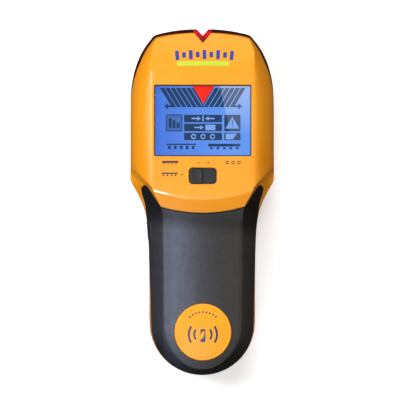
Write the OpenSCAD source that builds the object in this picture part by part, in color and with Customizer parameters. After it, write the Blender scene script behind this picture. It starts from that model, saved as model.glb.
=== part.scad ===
// Handheld stud finder: a wide sensing head with a backlit display, and a
// rubber-gripped handle that holds a 9 V battery behind a hinged door.
// Frame: X across, Y along the tool towards the nose, Z away from the wall.
// The wall face of the head is z = 0, and the origin is midway along the tool.

/* [Casing] */
// Width of the head across its flanks
head_w = 76.2; // [75:0.2:78]
// Width of the handle
handle_w = 56.4; // [55:0.2:57.5]
// Height of the flat display panel above the wall face
panel_z = 34; // [33.6:0.1:35]
// Wall thickness of both housings
wall = 2.2; // [1.8:0.1:2.6]
// Thickness of the moulded rubber grip
grip_t = 2.0; // [1.6:0.1:2.2]
// Lift of the handle's back above the wall face
handle_lift = 4.5; // [4.5:0.1:4.6]
// Depth of the marking notch in the nose lens
notch_depth = 4.0; // [3:0.1:4.5]

/* [Display] */
// Width of the window opening
window_w = 51.2; // [48:0.1:51.6]
// Height of the window opening
window_h = 37.5; // [34:0.1:38]
// Centre of the window along the tool
window_y = 42.9; // [42.5:0.1:43.3]

/* [Controls] */
// Width of the mode switch opening
well_w = 14.6; // [14:0.1:15]
// Height of the mode switch opening
well_h = 8.5; // [8:0.1:9]
// Distance between two mode switch positions
mode_pitch = 3.5; // [3:0.1:3.5]
// Centre of the mode switch along the tool
mode_y = 13.7; // [13:0.1:14]
// Centre of the power button along the tool
button_y = -15; // [-16:0.1:-14]
// Height of the power button above the wall face
button_z = 16.8; // [16.6:0.1:17]

/* [Battery] */
// Width of the 9 V battery
batt_w = 26.2; // [25:0.1:26.4]
// Thickness of the 9 V battery
batt_t = 17.0; // [16:0.1:17.4]
// Length of the battery case without its terminals
batt_l = 45.9; // [45:0.1:46]
// Thickness of the battery door
door_t = 2.0; // [1.8:0.1:2.1]

/* [Badge] */
// Radius of the round badge on the handle
badge_r = 15; // [13:0.1:15.2]
// Centre of the badge along the tool
badge_y = -68.6; // [-69:0.1:-68]

/* [Hidden] */

hw = head_w / 2;
gw = handle_w / 2;
heel_y = -64;       // centre of the heel's arc
crease = 27;        // half-width of the flat display panel
pcb_z = 20;         // underside of the main board
pcb_t = 1.6;
axis_y = -27.2;     // door hinge
axis_z = handle_lift + 1.8;
batt_y1 = -34;      // terminal end of the battery case
batt_z0 = 7.4;
gap = 0.06;

// Front height along the centre line, and the lift of the back.
front_line = [[-92, 31.2], [-88, 32.0], [-82, panel_z - 1.0], [-50, panel_z - 1.0], [-36, panel_z - 1.4], [-24, panel_z - 2.2],
    [-14, panel_z - 3.2], [-8, panel_z - 3.7], [-5.6, panel_z - 3.4], [1.5, panel_z], [64, panel_z], [72, panel_z - 0.7],
    [80, panel_z - 2.0], [88, panel_z - 3.8], [92, panel_z - 4.8]];
back_line = [[-92, handle_lift], [-21, handle_lift], [-17, handle_lift * 0.82], [-11, handle_lift * 0.18], [-7, 0], [92, 0]];
crown_line = [[-92, 1.0], [-14, 1.0], [-4, 0], [92, 0]];
function front_z(x, y) = lookup(y - 0.0066 * x * x, front_line) - lookup(y, crown_line) * pow(x / 20.3, 2);
function back_z(y) = lookup(y, back_line);

// Stations of the right half, nose to heel: widest point x, y, z, crease x, y, side shape, back edge x, y.
// A side shape above 1 bulges below a crisp crease, and one below 1 is scooped.
head_stations = [
    [0, 92, 15, 0, 88.9, 1.35, 0, 88.5],
    [9, 91.7, 15, 8.7, 88.65, 1.35, 8.5, 88.2],
    [18, 90.5, 15, 17.3, 87.5, 1.35, 17, 87],
    [24.8, 88.8, 15, 23.2, 86.1, 1.35, 22.5, 85.6],
    [27.1, 86.8, 15, 25.0, 84.8, 1.38, 24.4, 84.3],
    [31.1, 81.3, 15.3, crease, 79.5, 1.5, 28.2, 79.3],
    [34.2, 75, 15.8, crease, 73.5, 1.5, 31, 73.6],
    [hw - 1.5, 67.3, 16, crease, 66.5, 1.5, 33, 66.6],
    [hw - 0.2, 58, 16, crease, 57.5, 1.5, 34, 57.6],
    [hw, 46, 16, crease, 46, 1.5, 34.2, 46],
    [hw, 34, 16, crease, 32, 1.5, 34.2, 34],
    [hw, 25, 16, crease, 18, 1.5, 34.2, 25],
    [hw, 19.5, 16, crease, 9.2, 1.45, 34.2, 20],
    [hw + 0.1, 15.2, 15.5, 26.6, 7.0, 0.86, 34, 15],
    [hw - 0.1, 11.2, 15, 25.6, 4.6, 0.78, 33.6, 10.5],
    [35.4, 6.4, 14.5, 24, 1.4, 0.82, 31.5, 5.5],
    [32.6, 0.9, 14, 22.3, -2.0, 0.92, 28.8, 0],
    [gw + 2.2, -5.2, 14, 21.2, -6.3, 1.08, 26.2, -5.5],
    [gw + 0.9, -12.5, 14, 20.6, -13, 1.2, 24.2, -12],
    [gw + 0.3, -22, 14.5, 20.4, -22, 1.25, 22.4, -22],
    [gw, -34, 15, 20.3, -34, 1.25, 21.6, -34],
    [gw - 0.1, -48, 15.5, 20.2, -48, 1.25, 21.4, -48],
    [gw - 0.2, heel_y, 15.5, 20.1, heel_y + 1, 1.25, 21.2, heel_y]];
heel_stations = [for (a = [15:15:90]) [
    (gw - 0.2) * cos(a), heel_y - 28 * sin(a), 15.5,
    20.1 * cos(a), heel_y + 1 - 25.2 * sin(a), 1.25 + 0.15 * sin(a),
    21.2 * cos(a), heel_y - 20.5 * sin(a)]];
stations = concat(head_stations, heel_stations);
last = len(stations) - 1;

function flip(r) = [-r[0], r[1], r[2], -r[3], r[4], r[5], -r[6], r[7]];
function station(i) = i < 0 ? flip(stations[-i]) : i > last ? flip(stations[2 * last - i]) : stations[i];
function catmull(a, b, c, d, t) = 0.5 * (2 * b + (c - a) * t + (2 * a - 5 * b + 4 * c - d) * t * t + (3 * b - a - 3 * c + d) * t * t * t);
function at(s) = let (i = min(last - 1, floor(s)), t = s - i) catmull(station(i - 1), station(i), station(i + 1), station(i + 2), t);
function side_normal(s) = let (a = at(max(0, s - 0.05)), b = at(min(last, s + 0.05)), d = [b[0] - a[0], b[1] - a[1]])
    (s <= 0 ? [0, 1] : s >= last ? [0, -1] : [-d[1], d[0]] / norm(d));
function pw(v, e) = v <= 0 ? 0 : pow(v, e);
function offset_at(y, head, handle) = lookup(y, [[-92, handle], [-6, handle], [2, head], [92, head]]);

// One half section, from the middle of the back to the middle of the front, moved inwards by an offset.
n_back = 1; n_low = 3; n_up = 4; n_front = 3;
n_half = n_back + n_low + n_up + n_front;
function half_section(s, head, handle) = let (
        r = at(s), n = side_normal(s), o = offset_at(r[1], head, handle),
        O = [r[0] - n[0] * o, r[1] - n[1] * o],
        C = [r[3] - n[0] * o * 0.55, r[4] - n[1] * o * 0.55],
        B = [r[6] - n[0] * o * 0.5, r[7] - n[1] * o * 0.5],
        cz = front_z(C[0], C[1]) - o, bz = back_z(B[1]) + o, oz = r[2],
        crisp = max(0, r[5] - 1), e = 2 / (r[5] + 0.8 * crisp))
    concat(
        [for (k = [0:n_back - 1]) [B[0] * k / n_back, B[1], bz]],
        [for (k = [0:n_low - 1]) let (a = 90 * k / n_low, h = pw(sin(a), 0.83), v = 1 - pw(cos(a), 0.83))
            [B[0] + (O[0] - B[0]) * h, B[1] + (O[1] - B[1]) * h, bz + (oz - bz) * v]],
        [for (k = [0:n_up - 1]) let (a = 90 * k / n_up, h = 1 - pw(cos(a), e), v = pw(sin(a), e))
            [O[0] + (C[0] - O[0]) * h, O[1] + (C[1] - O[1]) * h, oz + (cz - oz) * v - 9 * crisp * (1 - h) * v]],
        [for (k = [0:n_front]) let (x = C[0] * (1 - k / n_front)) [x, C[1], front_z(x, C[1]) - o]]);

// Closed skin of the whole tool, inset by the given offsets in the head and the handle.
module skin(head = 0, handle = 0, step = 0.5) {
    n = round(last / step);
    ring = 2 * n_half;
    ends = n_half - n_front - n_back + 1;
    first = [for (k = [n_back:n_half - n_front]) half_section(0, head, handle)[k]];
    final = [for (k = [n_back:n_half - n_front]) half_section(last, head, handle)[k]];
    middle = [for (i = [1:n - 1]) let (h = half_section(i * step, head, handle))
        each concat(h, [for (k = [n_half - 1:-1:1]) [-h[k][0], h[k][1], h[k][2]]])];
    function end_k(m) = let (k = m <= n_half ? m : ring - m) max(n_back, min(n_half - n_front, k)) - n_back;
    function id(i, m) = let (w = m % ring) i == 0 ? end_k(w) : i == n ? ends + (n - 1) * ring + end_k(w) : ends + (i - 1) * ring + w;
    faces = [for (i = [0:n - 1], m = [0:ring - 1]) let (a = id(i, m), b = id(i, m + 1), c = id(i + 1, m + 1), d = id(i + 1, m))
        each [[a, c, b], [a, d, c]]];
    polyhedron(concat(first, middle, final), [for (f = faces) if (f[0] != f[1] && f[1] != f[2] && f[0] != f[2]) [f[0], f[1], f[2]]], convexity = 8);
}

// Side profiles (y, z) that part the casing. The lens fills the gap between them at the nose.
rear_top = [[-95, 16.2], [-84, 17.8], [-70, 19], [-52, 18.4], [-34, 15.2], [-22, 13], [-8, 12.2], [8, 13], [20, 14], [44, 15.4], [70, 13.4], [95, 12.4]];
front_low = [[-95, 16.2], [-84, 17.8], [-70, 19], [-52, 18.4], [-34, 15.2], [-22, 13], [-8, 12.2], [8, 13], [20, 14], [42, 15.4], [56, 18.6], [68, 22.2], [78, 25.4], [87, 28.5], [95, 29.5]];
grip_low = [[-95, 16.2], [-84, 17.8], [-70, 19], [-52, 18.4], [-34, 15.2], [-22, 13.2], [-13, 13.6], [-8, 14.6], [-3.5, 15.5], [1.9, 16.4], [5, 17.4], [7.2, 18.9], [12, 22]];

module side_region(line, low, grow = 0) {
    top = low ? -5 : 60;
    rotate([90, 0, 90]) linear_extrude(120, center = true)
        polygon(concat([for (p = line) [p[0], p[1] + grow]], [[line[len(line) - 1][0], top], [line[0][0], top]]));
}

// Plan shape of the grip: the handle, an arched upper edge, and a horn up each flank.
module grip_plan(grow = 0) {
    horn = [[22.1, -2.5], [24.4, 0.9], [27.2, 5.3], [28.8, 7.6], [29.6, 8.5], [30.6, 8.8], [31.6, 8.4], [32.3, 7.5], [32.8, 6.2], [60, 5.9]];
    arch = [for (x = [-20:4:20]) [x, -5.7 + 0.0066 * x * x]];
    polygon(concat([[-60, -100]], [for (i = [len(horn) - 1:-1:0]) [-horn[i][0], horn[i][1] + grow]],
        [for (p = arch) [p[0], p[1] + grow]], [for (p = horn) [p[0], p[1] + grow]], [[60, -100]]));
}
module grip_zone(grow = 0) {
    intersection() {
        translate([0, 0, -5]) linear_extrude(60) grip_plan(grow);
        side_region(grip_low, false, -grow);
    }
}

module plan_box(w, h, t, r) {
    linear_extrude(t) {
        square([w - 2 * r, h], center = true);
        square([w, h - 2 * r], center = true);
        for (x = [-1, 1], y = [-1, 1]) translate([x * (w / 2 - r), y * (h / 2 - r)]) circle(r, $fn = 32);
    }
}
module soft_box(w, h, t, r) {
    hull() for (x = [-1, 1], y = [-1, 1]) translate([x * (w / 2 - r), y * (h / 2 - r), 0]) cylinder(h = t, r = r, $fn = 24);
}
module boss(r, h) { cylinder(h = h, r = r, $fn = 10); }
module notch_cut(w, tip, z0, z1) {
    translate([0, 0, z0]) linear_extrude(z1 - z0) polygon([[-w, 94], [-0.17, tip], [0.21, tip], [w, 94]]);
}

case_screws = [[26.5, 3.5], [-26.5, 3.5], [19.2, -66], [-19.2, -66]];
case_screw_z = [0, 0, handle_lift, handle_lift];
board_screw_xy = [[30.6, 28], [-30.6, 28], [30.6, 58], [-30.6, 58]];

module front_housing() {
    color([0.98, 0.62, 0.12]) resize([0, 0, 0]) difference() {
        intersection() {
            union() {
                difference() { skin(); skin(wall, wall + grip_t); }
                intersection() {
                    skin(0.6, grip_t + 0.6);
                    union() {
                        for (i = [0:3]) translate([case_screws[i][0], case_screws[i][1], case_screw_z[i] + 14]) boss(2.6, 22);
                        for (p = board_screw_xy) translate([p[0], p[1], pcb_z + pcb_t + 0.1]) boss(2.1, 14);
                        // ribs that press on the battery
                        for (x = [-8, 8]) translate([x - 0.6, -76, batt_z0 + batt_t + 0.4]) cube([1.2, 36, 10]);
                    }
                }
            }
            side_region(front_low, false, gap);
        }
        // seat of the grip
        difference() { grip_zone(0.1); skin(grip_t + gap, grip_t + gap); }
        notch_cut(8.5, 84.05, 10, 45);
        // display window
        translate([0, window_y, panel_z - 5]) soft_box(window_w, window_h, 10, 0.7);
        translate([0, window_y, panel_z - 6]) soft_box(window_w + 4.2, window_h + 4.2, 6 - wall + 0.15, 1);
        // mode switch opening and the pocket for its skirt
        translate([0, mode_y, panel_z - 5]) soft_box(well_w, well_h, 10, 2.3);
        translate([0, mode_y, panel_z - 5]) soft_box(30.6, 11, 3.8, 1);
        // power button
        translate([-40, button_y, button_z]) rotate([90, 0, 90]) soft_box(11.4, 5.6, 25, 2.7);
        for (i = [0:3]) translate([case_screws[i][0], case_screws[i][1], case_screw_z[i]]) cylinder(h = 25, r = 1.2, $fn = 8);
        for (p = board_screw_xy) translate([p[0], p[1], pcb_z]) cylinder(h = 6.5, r = 1.0, $fn = 8);
    }
}

module rear_housing() {
    color([0.97, 0.60, 0.11]) resize([0, 0, 0]) difference() {
        intersection() {
            union() {
                difference() { skin(); skin(wall, wall + 0.4); }
                intersection() {
                    skin(0.6, 0.6);
                    union() {
                        for (i = [0:3]) translate([case_screws[i][0], case_screws[i][1], 0]) boss(3.7, case_screw_z[i] + 13.4);
                        // battery bay walls
                        for (s = [-1, 1]) translate([s * 15.1 - 0.7, -82, 5]) cube([1.4, 52, 11]);
                        translate([-15.8, -82.8, 5]) cube([31.6, 1.4, 11]);
                        // hinge cheeks
                        for (s = [-1, 1]) translate([s * 15 - 2.1, axis_y - 2.8, handle_lift + 0.3]) cube([4.2, 5.4, 4.7]);
                        // wall behind the marking notch
                        notch_cut(7.8, 85.3, -1, 30);
                        // pegs that locate the sensor board
                        for (x = [-26, 26], y = [28, 66]) translate([x, y, 1]) boss(2.2, 1.9);
                        for (x = [-26, 26], y = [28, 66]) translate([x, y, 1]) boss(1.1, 4.4);
                    }
                }
            }
            side_region(rear_top, true, -gap);
        }
        notch_cut(5.1, 92 - notch_depth, -5, 45);
        // battery opening and hinge slot
        translate([-14.3, -82.4 + 1, -1]) cube([28.6, 51.1, 12]);
        translate([-12.9, -31.5, -1]) cube([25.8, -25.0 + 31.5, 12]);
        // finger notch at the door's tab
        translate([0, -82.4, handle_lift - 2]) soft_box(9, 5, 5, 1.5);
        translate([-16.6, axis_y, axis_z]) rotate([0, 90, 0]) cylinder(h = 33.2, r = 1.0, $fn = 16);
        for (i = [0:3]) translate([case_screws[i][0], case_screws[i][1], -1]) {
            cylinder(h = 40, r = 1.5, $fn = 10);
            cylinder(h = case_screw_z[i] + 3.6, r = 2.7, $fn = 12);
        }
        translate([-40, button_y, button_z]) rotate([90, 0, 90]) soft_box(11.4, 5.6, 25, 2.7);
    }
}

module handle_grip() {
    color([0.17, 0.17, 0.19]) resize([0, 0, 0]) difference() {
        intersection() { skin(); grip_zone(); }
        skin(grip_t, grip_t);
        translate([0, badge_y, 20]) cylinder(h = 30, r = badge_r + 0.15, $fn = 48);
        translate([-40, button_y, button_z]) rotate([90, 0, 90]) soft_box(11.4, 5.6, 25, 2.7);
    }
}

module nose_lens() {
    color([0.55, 0.05, 0.07]) resize([0, 0, 0]) difference() {
        union() {
            difference() {
                intersection() { skin(0.05, 0.05); side_region(front_low, true, -gap); side_region(rear_top, false, gap); translate([-60, 43, 0]) cube([120, 60, 60]); }
                skin(wall, wall);
            }
            intersection() {
                skin(0.35, 0.35);
                notch_cut(8.3, 84.27, 14, 45);
                side_region(rear_top, false, gap);
            }
        }
        notch_cut(5.1, 92 - notch_depth, -5, 45);
        // two facets that fall from the tip of the notch to its open edge
        for (s = [-1, 1]) hull() for (p = [[0.1, 84.65, 30.85], [10.2, 95.6, 25.4], [0.1, 95.8, 22.75]], up = [0, 15])
            translate([s * p[0], p[1], p[2] + up]) sphere(0.1, $fn = 8);
    }
}

module display_window() {
    color([0.75, 0.85, 0.95, 0.4]) translate([0, window_y, 0]) {
        translate([0, 0, panel_z - 2.35]) plan_box(window_w - 0.3, window_h - 0.3, 1.65, 0.6);
        translate([0, 0, panel_z - 3.1]) plan_box(window_w + 3.4, window_h + 3.4, 0.8, 0.8);
    }
}
module window_gasket() {
    color([0.06, 0.06, 0.07]) translate([0, window_y, panel_z - 3.7]) difference() {
        plan_box(window_w + 3.2, window_h + 3.2, 0.5, 0.8);
        translate([0, 0, -1]) plan_box(window_w - 1, window_h - 1, 3, 0.5);
    }
}
module lcd_panel() {
    color([0.25, 0.45, 0.85]) {
        translate([-27.2, 20.4, 27.4]) cube([54.4, 45.4, 1.1]);
        translate([-27.2, 23.2, 28.5]) cube([54.4, 39.8, 1.1]);
        translate([-26.6, 23.8, 29.6]) cube([53.2, 38.6, 0.3]);
    }
}
module lcd_backlight() {
    color([0.9, 0.94, 1]) {
        translate([-26.2, 24.6, 24.2]) cube([52.4, 37, 3.1]);
        for (y = [33, 43, 53]) translate([26.2, y - 1.5, 24.6]) cube([1.4, 3, 1.8]);
    }
}
module lcd_holder() {
    color([0.85, 0.86, 0.84]) difference() {
        translate([0, 43.1, pcb_z + pcb_t + 0.1]) plan_box(56.8, 49.4, 7.6, 1.2);
        translate([0, 43.1, 0]) translate([-27.7, -23.1, 26.6]) cube([55.4, 46.2, 10]);
        translate([-26.4, 24.4, 24.0]) cube([52.8, 37.4, 10]);
        translate([-26.4, 28.4, 18]) cube([52.8, 29.4, 10]);
        for (y = [21.1, 62.2]) translate([-25.8, y, 18]) cube([51.6, 2.8, 12]);
        translate([26, 30, 24.0]) cube([2.0, 26, 3]);
    }
}
module zebra_strips() {
    color([0.9, 0.45, 0.55]) for (y = [21.5, 62.6]) translate([-25.4, y, pcb_z + pcb_t]) cube([50.8, 2.0, 27.4 - pcb_z - pcb_t]);
}
module board_holes() {
    for (p = board_screw_xy) translate([p[0], p[1], pcb_z - 1]) cylinder(h = 4, r = 1.15, $fn = 32);
}
module main_board() {
    color([0.05, 0.35, 0.18]) difference() {
        translate([0, 0, pcb_z]) linear_extrude(pcb_t)
            polygon([[-20.6, -23], [20.6, -23], [20.6, -3], [24, 6], [32.6, 22], [32.6, 66], [25.5, 79.5], [-25.5, 79.5], [-32.6, 66], [-32.6, 22], [-24, 6], [-20.6, -3]]);
        board_holes();
        for (i = [0, 1]) translate([case_screws[i][0], case_screws[i][1], pcb_z - 1]) cylinder(h = 4, r = 3.4, $fn = 32);
        for (x = [-4, 4]) translate([x, -20.5, pcb_z - 1]) cylinder(h = 4, r = 0.75, $fn = 24);
    }
}
module sensor_board() {
    color([0.08, 0.30, 0.45]) difference() {
        translate([0, 0, 3.0]) linear_extrude(1.2)
            polygon([[-30.5, 21], [30.5, 21], [30.5, 68], [24.5, 79.5], [-24.5, 79.5], [-30.5, 68]]);
        for (x = [-26, 26], y = [28, 66]) translate([x, y, 2]) cylinder(h = 4, r = 1.5, $fn = 32);
    }
}
module sensor_plates() {
    color([0.80, 0.48, 0.28]) for (x = [-20.4, -6.8, 6.8, 20.4]) translate([x - 6.3, 31, 2.82]) cube([12.6, 32, 0.17]);
    color([0.80, 0.48, 0.28]) translate([-20, 69, 2.82]) cube([40, 7, 0.17]);
}
module metal_coil() {
    color([0.72, 0.38, 0.18]) translate([0, 50, 4.2]) {
        for (r = [9, 11.2, 13.4]) rotate_extrude($fn = 96) translate([r, 0]) square([1.6, 1.6]);
    }
}
module board_header() {
    color([0.07, 0.07, 0.08]) {
        translate([-12.9, 22.6, 4.2]) cube([25.8, 2.5, 8.5]);
        translate([-12.9, 22.6, pcb_z - 2.5]) cube([25.8, 2.5, 2.5]);
    }
}
module header_pins() {
    color([0.86, 0.70, 0.30]) for (i = [-4.5:1:4.5]) translate([i * 2.54 - 0.32, 23.53, 12.75]) cube([0.64, 0.64, pcb_z - 2.5 - 12.8]);
}
module mode_slider() {
    x0 = -mode_pitch;
    color([0.22, 0.23, 0.27]) translate([x0, mode_y, 0]) difference() {
        union() {
            translate([0, 0, panel_z - 2.4]) plan_box(22.6, 10.2, 1.1, 0.8);
            translate([0, 0, panel_z - 1.4]) plan_box(6.0, 7.5, 1.7, 0.9);
            for (x = [-2.1, -0.7, 0.7, 2.1]) translate([x - 0.25, -3.3, panel_z + 0.2]) cube([0.5, 6.6, 0.4]);
            translate([-1.9, -1.9, 27.4]) cube([3.8, 3.8, panel_z - 2.4 - 27.4]);
        }
        translate([-1.1, -1.1, 26]) cube([2.2, 2.2, 3.6]);
    }
}
module mode_switch_body() {
    color([0.70, 0.72, 0.74]) translate([0, mode_y, pcb_z + pcb_t]) difference() {
        translate([-9.5, -3.5, 0.02]) cube([19, 7, 4.4]);
        translate([-6.4, -1.6, 3.0]) cube([12.8, 3.2, 3]);
    }
}
module mode_switch_lever() {
    color([0.93, 0.93, 0.90]) translate([-mode_pitch, mode_y, pcb_z + pcb_t]) {
        translate([-1.9, -1.4, 3.2]) cube([3.8, 2.8, 0.9]);
        translate([-1.0, -1.0, 4.1]) cube([2.0, 2.0, 3.7]);
    }
}
module power_button() {
    color([0.10, 0.10, 0.11]) resize([0, 0, 0]) {
        intersection() {
            skin(-0.3, -0.3);
            translate([-34, button_y, button_z]) rotate([90, 0, 90]) plan_box(10.9, 5.1, 11.7, 2.4);
        }
        translate([-22.6, button_y, button_z]) rotate([90, 0, 90]) plan_box(13, 4.2, 0.6, 1.8);
    }
}
module tact_switch() {
    color([0.16, 0.16, 0.17]) translate([-20.6, button_y, 0]) difference() {
        translate([0, -3.6, 13.2]) cube([4.2, 7.2, pcb_z - 0.02 - 13.2]);
        translate([-1, -1.6, button_z - 1.0]) cube([2.6, 3.2, 2.0]);
    }
}
module tact_plunger() {
    color([0.9, 0.9, 0.88]) translate([-21.88, button_y - 1.4, button_z - 0.8]) cube([2.0, 2.8, 1.6]);
}
module buzzer() {
    color([0.08, 0.08, 0.09]) translate([12, 1, 12.8]) difference() {
        cylinder(h = pcb_z - 0.02 - 12.8, r = 6, $fn = 64);
        translate([0, 0, -1]) cylinder(h = 2.2, r = 1.2, $fn = 32);
    }
}
module pointer_leds() {
    color([0.85, 0.12, 0.10]) for (x = [-16, 0, 16]) translate([x, x == 0 ? 76.4 : 75.6, pcb_z + pcb_t + 2.0]) rotate([-90, 0, 0]) {
        cylinder(h = 3.6, r = 1.5, $fn = 32);
        translate([0, 0, 3.6]) sphere(1.47, $fn = 32);
        translate([0, 0, -0.9]) cylinder(h = 0.9, r = 1.8, $fn = 32);
    }
}
module microcontroller() {
    color([0.05, 0.05, 0.06]) translate([-5, 50, pcb_z - 1.6]) {
        translate([-5, -5, 0]) cube([10, 10, 1.35]);
        for (a = [0:90:270]) rotate([0, 0, a]) for (i = [-3.5:1:3.5]) translate([4.9, i - 0.18, 0.6]) cube([1.2, 0.36, 0.98]);
    }
}
module sensor_chip() {
    color([0.05, 0.05, 0.06]) translate([0, 70, 4.22]) {
        translate([-2, -3.2, 0.1]) cube([4, 6.4, 1.3]);
        for (s = [-1, 1], i = [-2:1:2]) translate([s * 2.4 - 0.5, i - 0.2, 0]) cube([1, 0.4, 0.5]);
    }
}
module filter_capacitors() {
    color([0.30, 0.32, 0.40]) {
        for (p = [[-14, 2], [-6, 2]]) translate([p[0], p[1], pcb_z - 7.02]) cylinder(h = 7, r = 2.5, $fn = 48);
        for (p = [[14, 40], [14, 46], [14, 52], [-20, 40], [-20, 46], [-20, 60]]) translate([p[0], p[1], pcb_z - 1.02]) cube([2, 1.25, 1]);
    }
}
module battery_case() {
    color([0.12, 0.12, 0.13]) translate([0, batt_y1 - batt_l / 2, batt_z0]) {
        difference() {
            translate([0, 0, batt_t / 2]) rotate([90, 0, 0]) translate([0, 0, -batt_l / 2]) plan_box(batt_w, batt_t, batt_l, 2.2);
            translate([-10.8, batt_l / 2 - 0.5, batt_t / 2 - 5.6]) cube([21.6, 2, 11.2]);
        }
    }
}
module battery_terminals() {
    color([0.82, 0.83, 0.84]) translate([0, batt_y1 - 0.5, batt_z0 + batt_t / 2]) rotate([-90, 0, 0]) {
        translate([-6.35, 0, 0]) cylinder(h = 3.0, r = 2.85, $fn = 48);
        translate([6.35, 0, 0]) difference() {
            cylinder(h = 3.0, r = 4.2, $fn = 48);
            translate([0, 0, 0.6]) cylinder(h = 3, r = 3.2, $fn = 48);
        }
    }
}
module snap_holder() {
    color([0.10, 0.10, 0.11]) translate([0, batt_y1 + 3.3, batt_z0 + batt_t / 2]) rotate([-90, 0, 0])
        translate([0, 0, -0.5]) plan_box(25, 12.4, 2.6, 3);
}
module snap_contacts() {
    color([0.80, 0.80, 0.78]) translate([0, batt_y1 + 0.3, batt_z0 + batt_t / 2]) rotate([-90, 0, 0]) {
        translate([-6.35, 0, 0]) difference() {
            cylinder(h = 2.45, r = 4.1, $fn = 48);
            translate([0, 0, -1]) cylinder(h = 5, r = 2.95, $fn = 48);
        }
        translate([6.35, 0, 0]) cylinder(h = 2.45, r = 3.05, $fn = 48);
    }
}
module wire_run(a, b, r) {
    d = b - a;
    translate(a) rotate([0, acos(d[2] / norm(d)), atan2(d[1], d[0])]) cylinder(h = norm(d), r = r, $fn = 16);
}
module wire(path, r) {
    for (i = [0:len(path) - 2]) wire_run(path[i], path[i + 1], r);
    for (i = [1:len(path) - 2]) translate(path[i]) sphere(r * 1.04, $fn = 16);
}
module lead_red() { color([0.75, 0.08, 0.08]) resize([0, 0, 0]) wire([[-7, -28.55, 12.5], [-7, -25.2, 12.5], [-4, -20.5, 17.2], [-4, -20.5, 22.6]], 0.62); }
module lead_black() { color([0.06, 0.06, 0.07]) resize([0, 0, 0]) wire([[7, -28.55, 12.5], [7, -25.2, 12.5], [4, -20.5, 17.2], [4, -20.5, 22.6]], 0.62); }

module battery_door() {
    color([0.96, 0.60, 0.12]) difference() {
        union() {
            translate([-14, -81.2, handle_lift]) cube([28, 50.4, door_t]);
            translate([-12.6, -31.5, handle_lift]) cube([25.2, 31.5 + axis_y, door_t]);
            translate([-12.6, axis_y, axis_z]) rotate([0, 90, 0]) cylinder(h = 25.2, r = 1.8, $fn = 48);
            translate([-16.2, axis_y, axis_z]) rotate([0, 90, 0]) cylinder(h = 32.4, r = 0.93, $fn = 48);
            // tongue that is pressed to free the door
            translate([-3.6, -81.3, handle_lift + door_t - 0.1]) cube([7.2, 1.2, 0.9]);
        }
        // grip lines
        for (y = [-77, -75, -73]) translate([-5, y - 0.4, handle_lift - 0.5]) cube([10, 0.8, 1.0]);
        // slots that free the tongue
        for (s = [-1, 1]) translate([s * 5.6 - 0.4, -82, handle_lift - 1]) cube([0.8, 10, 5]);
    }
}
module door_pad() {
    color([0.10, 0.10, 0.10]) translate([-9, -70, handle_lift + door_t]) cube([18, 26, 0.8]);
}
module screw(len, head_r, head_h, r) {
    difference() {
        union() {
            cylinder(h = head_h, r = head_r, $fn = 48);
            cylinder(h = len, r = r, $fn = 48);
        }
        for (a = [0, 90]) rotate([0, 0, a]) translate([-head_r * 0.6, -0.3, -0.1]) cube([head_r * 1.2, 0.6, head_h * 0.6]);
    }
}
module housing_screws() {
    color([0.60, 0.61, 0.62]) for (i = [0:3]) translate([case_screws[i][0], case_screws[i][1], case_screw_z[i] + 1.0]) screw(19.2, 2.4, 1.5, 1.05);
}
module board_screws() {
    color([0.60, 0.61, 0.62]) for (p = board_screw_xy) translate([p[0], p[1], pcb_z - 1.35]) screw(7.2, 1.9, 1.3, 0.88);
}
module badge() {
    color([0.98, 0.63, 0.14]) translate([0, badge_y, 0]) rotate_extrude($fn = 96)
        polygon(concat([[0, panel_z - 2.9], [badge_r, panel_z - 2.9], [badge_r, panel_z - 0.9], [badge_r - 0.5, panel_z - 0.5]],
            [for (i = [1:6]) [(badge_r - 0.5) * (1 - i / 6), panel_z - 0.5 + 0.7 * (1 - pow(1 - i / 6, 2))]]));
}

front_housing();
rear_housing();
handle_grip();
nose_lens();
display_window();
window_gasket();
lcd_panel();
lcd_backlight();
lcd_holder();
zebra_strips();
main_board();
sensor_board();
sensor_plates();
metal_coil();
board_header();
header_pins();
mode_slider();
mode_switch_body();
mode_switch_lever();
power_button();
tact_switch();
tact_plunger();
buzzer();
pointer_leds();
microcontroller();
sensor_chip();
filter_capacitors();
battery_case();
battery_terminals();
snap_holder();
snap_contacts();
lead_red();
lead_black();
battery_door();
door_pad();
housing_screws();
board_screws();
badge();
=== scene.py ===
import math

import bmesh
import bpy
import numpy as np
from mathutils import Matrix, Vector
from mathutils.bvhtree import BVHTree


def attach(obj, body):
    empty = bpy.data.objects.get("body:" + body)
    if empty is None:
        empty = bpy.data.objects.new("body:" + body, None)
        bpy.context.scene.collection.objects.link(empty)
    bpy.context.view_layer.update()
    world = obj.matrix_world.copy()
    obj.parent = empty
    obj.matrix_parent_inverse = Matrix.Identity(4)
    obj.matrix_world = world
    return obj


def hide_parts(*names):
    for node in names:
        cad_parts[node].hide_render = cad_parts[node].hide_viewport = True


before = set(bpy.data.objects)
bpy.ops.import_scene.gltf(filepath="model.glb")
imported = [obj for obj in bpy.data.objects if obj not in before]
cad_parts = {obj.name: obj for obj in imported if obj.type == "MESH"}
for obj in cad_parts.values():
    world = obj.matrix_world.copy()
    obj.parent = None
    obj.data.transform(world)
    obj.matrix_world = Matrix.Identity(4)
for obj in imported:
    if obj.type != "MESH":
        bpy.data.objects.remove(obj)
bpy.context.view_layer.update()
MM = 0.001

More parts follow.
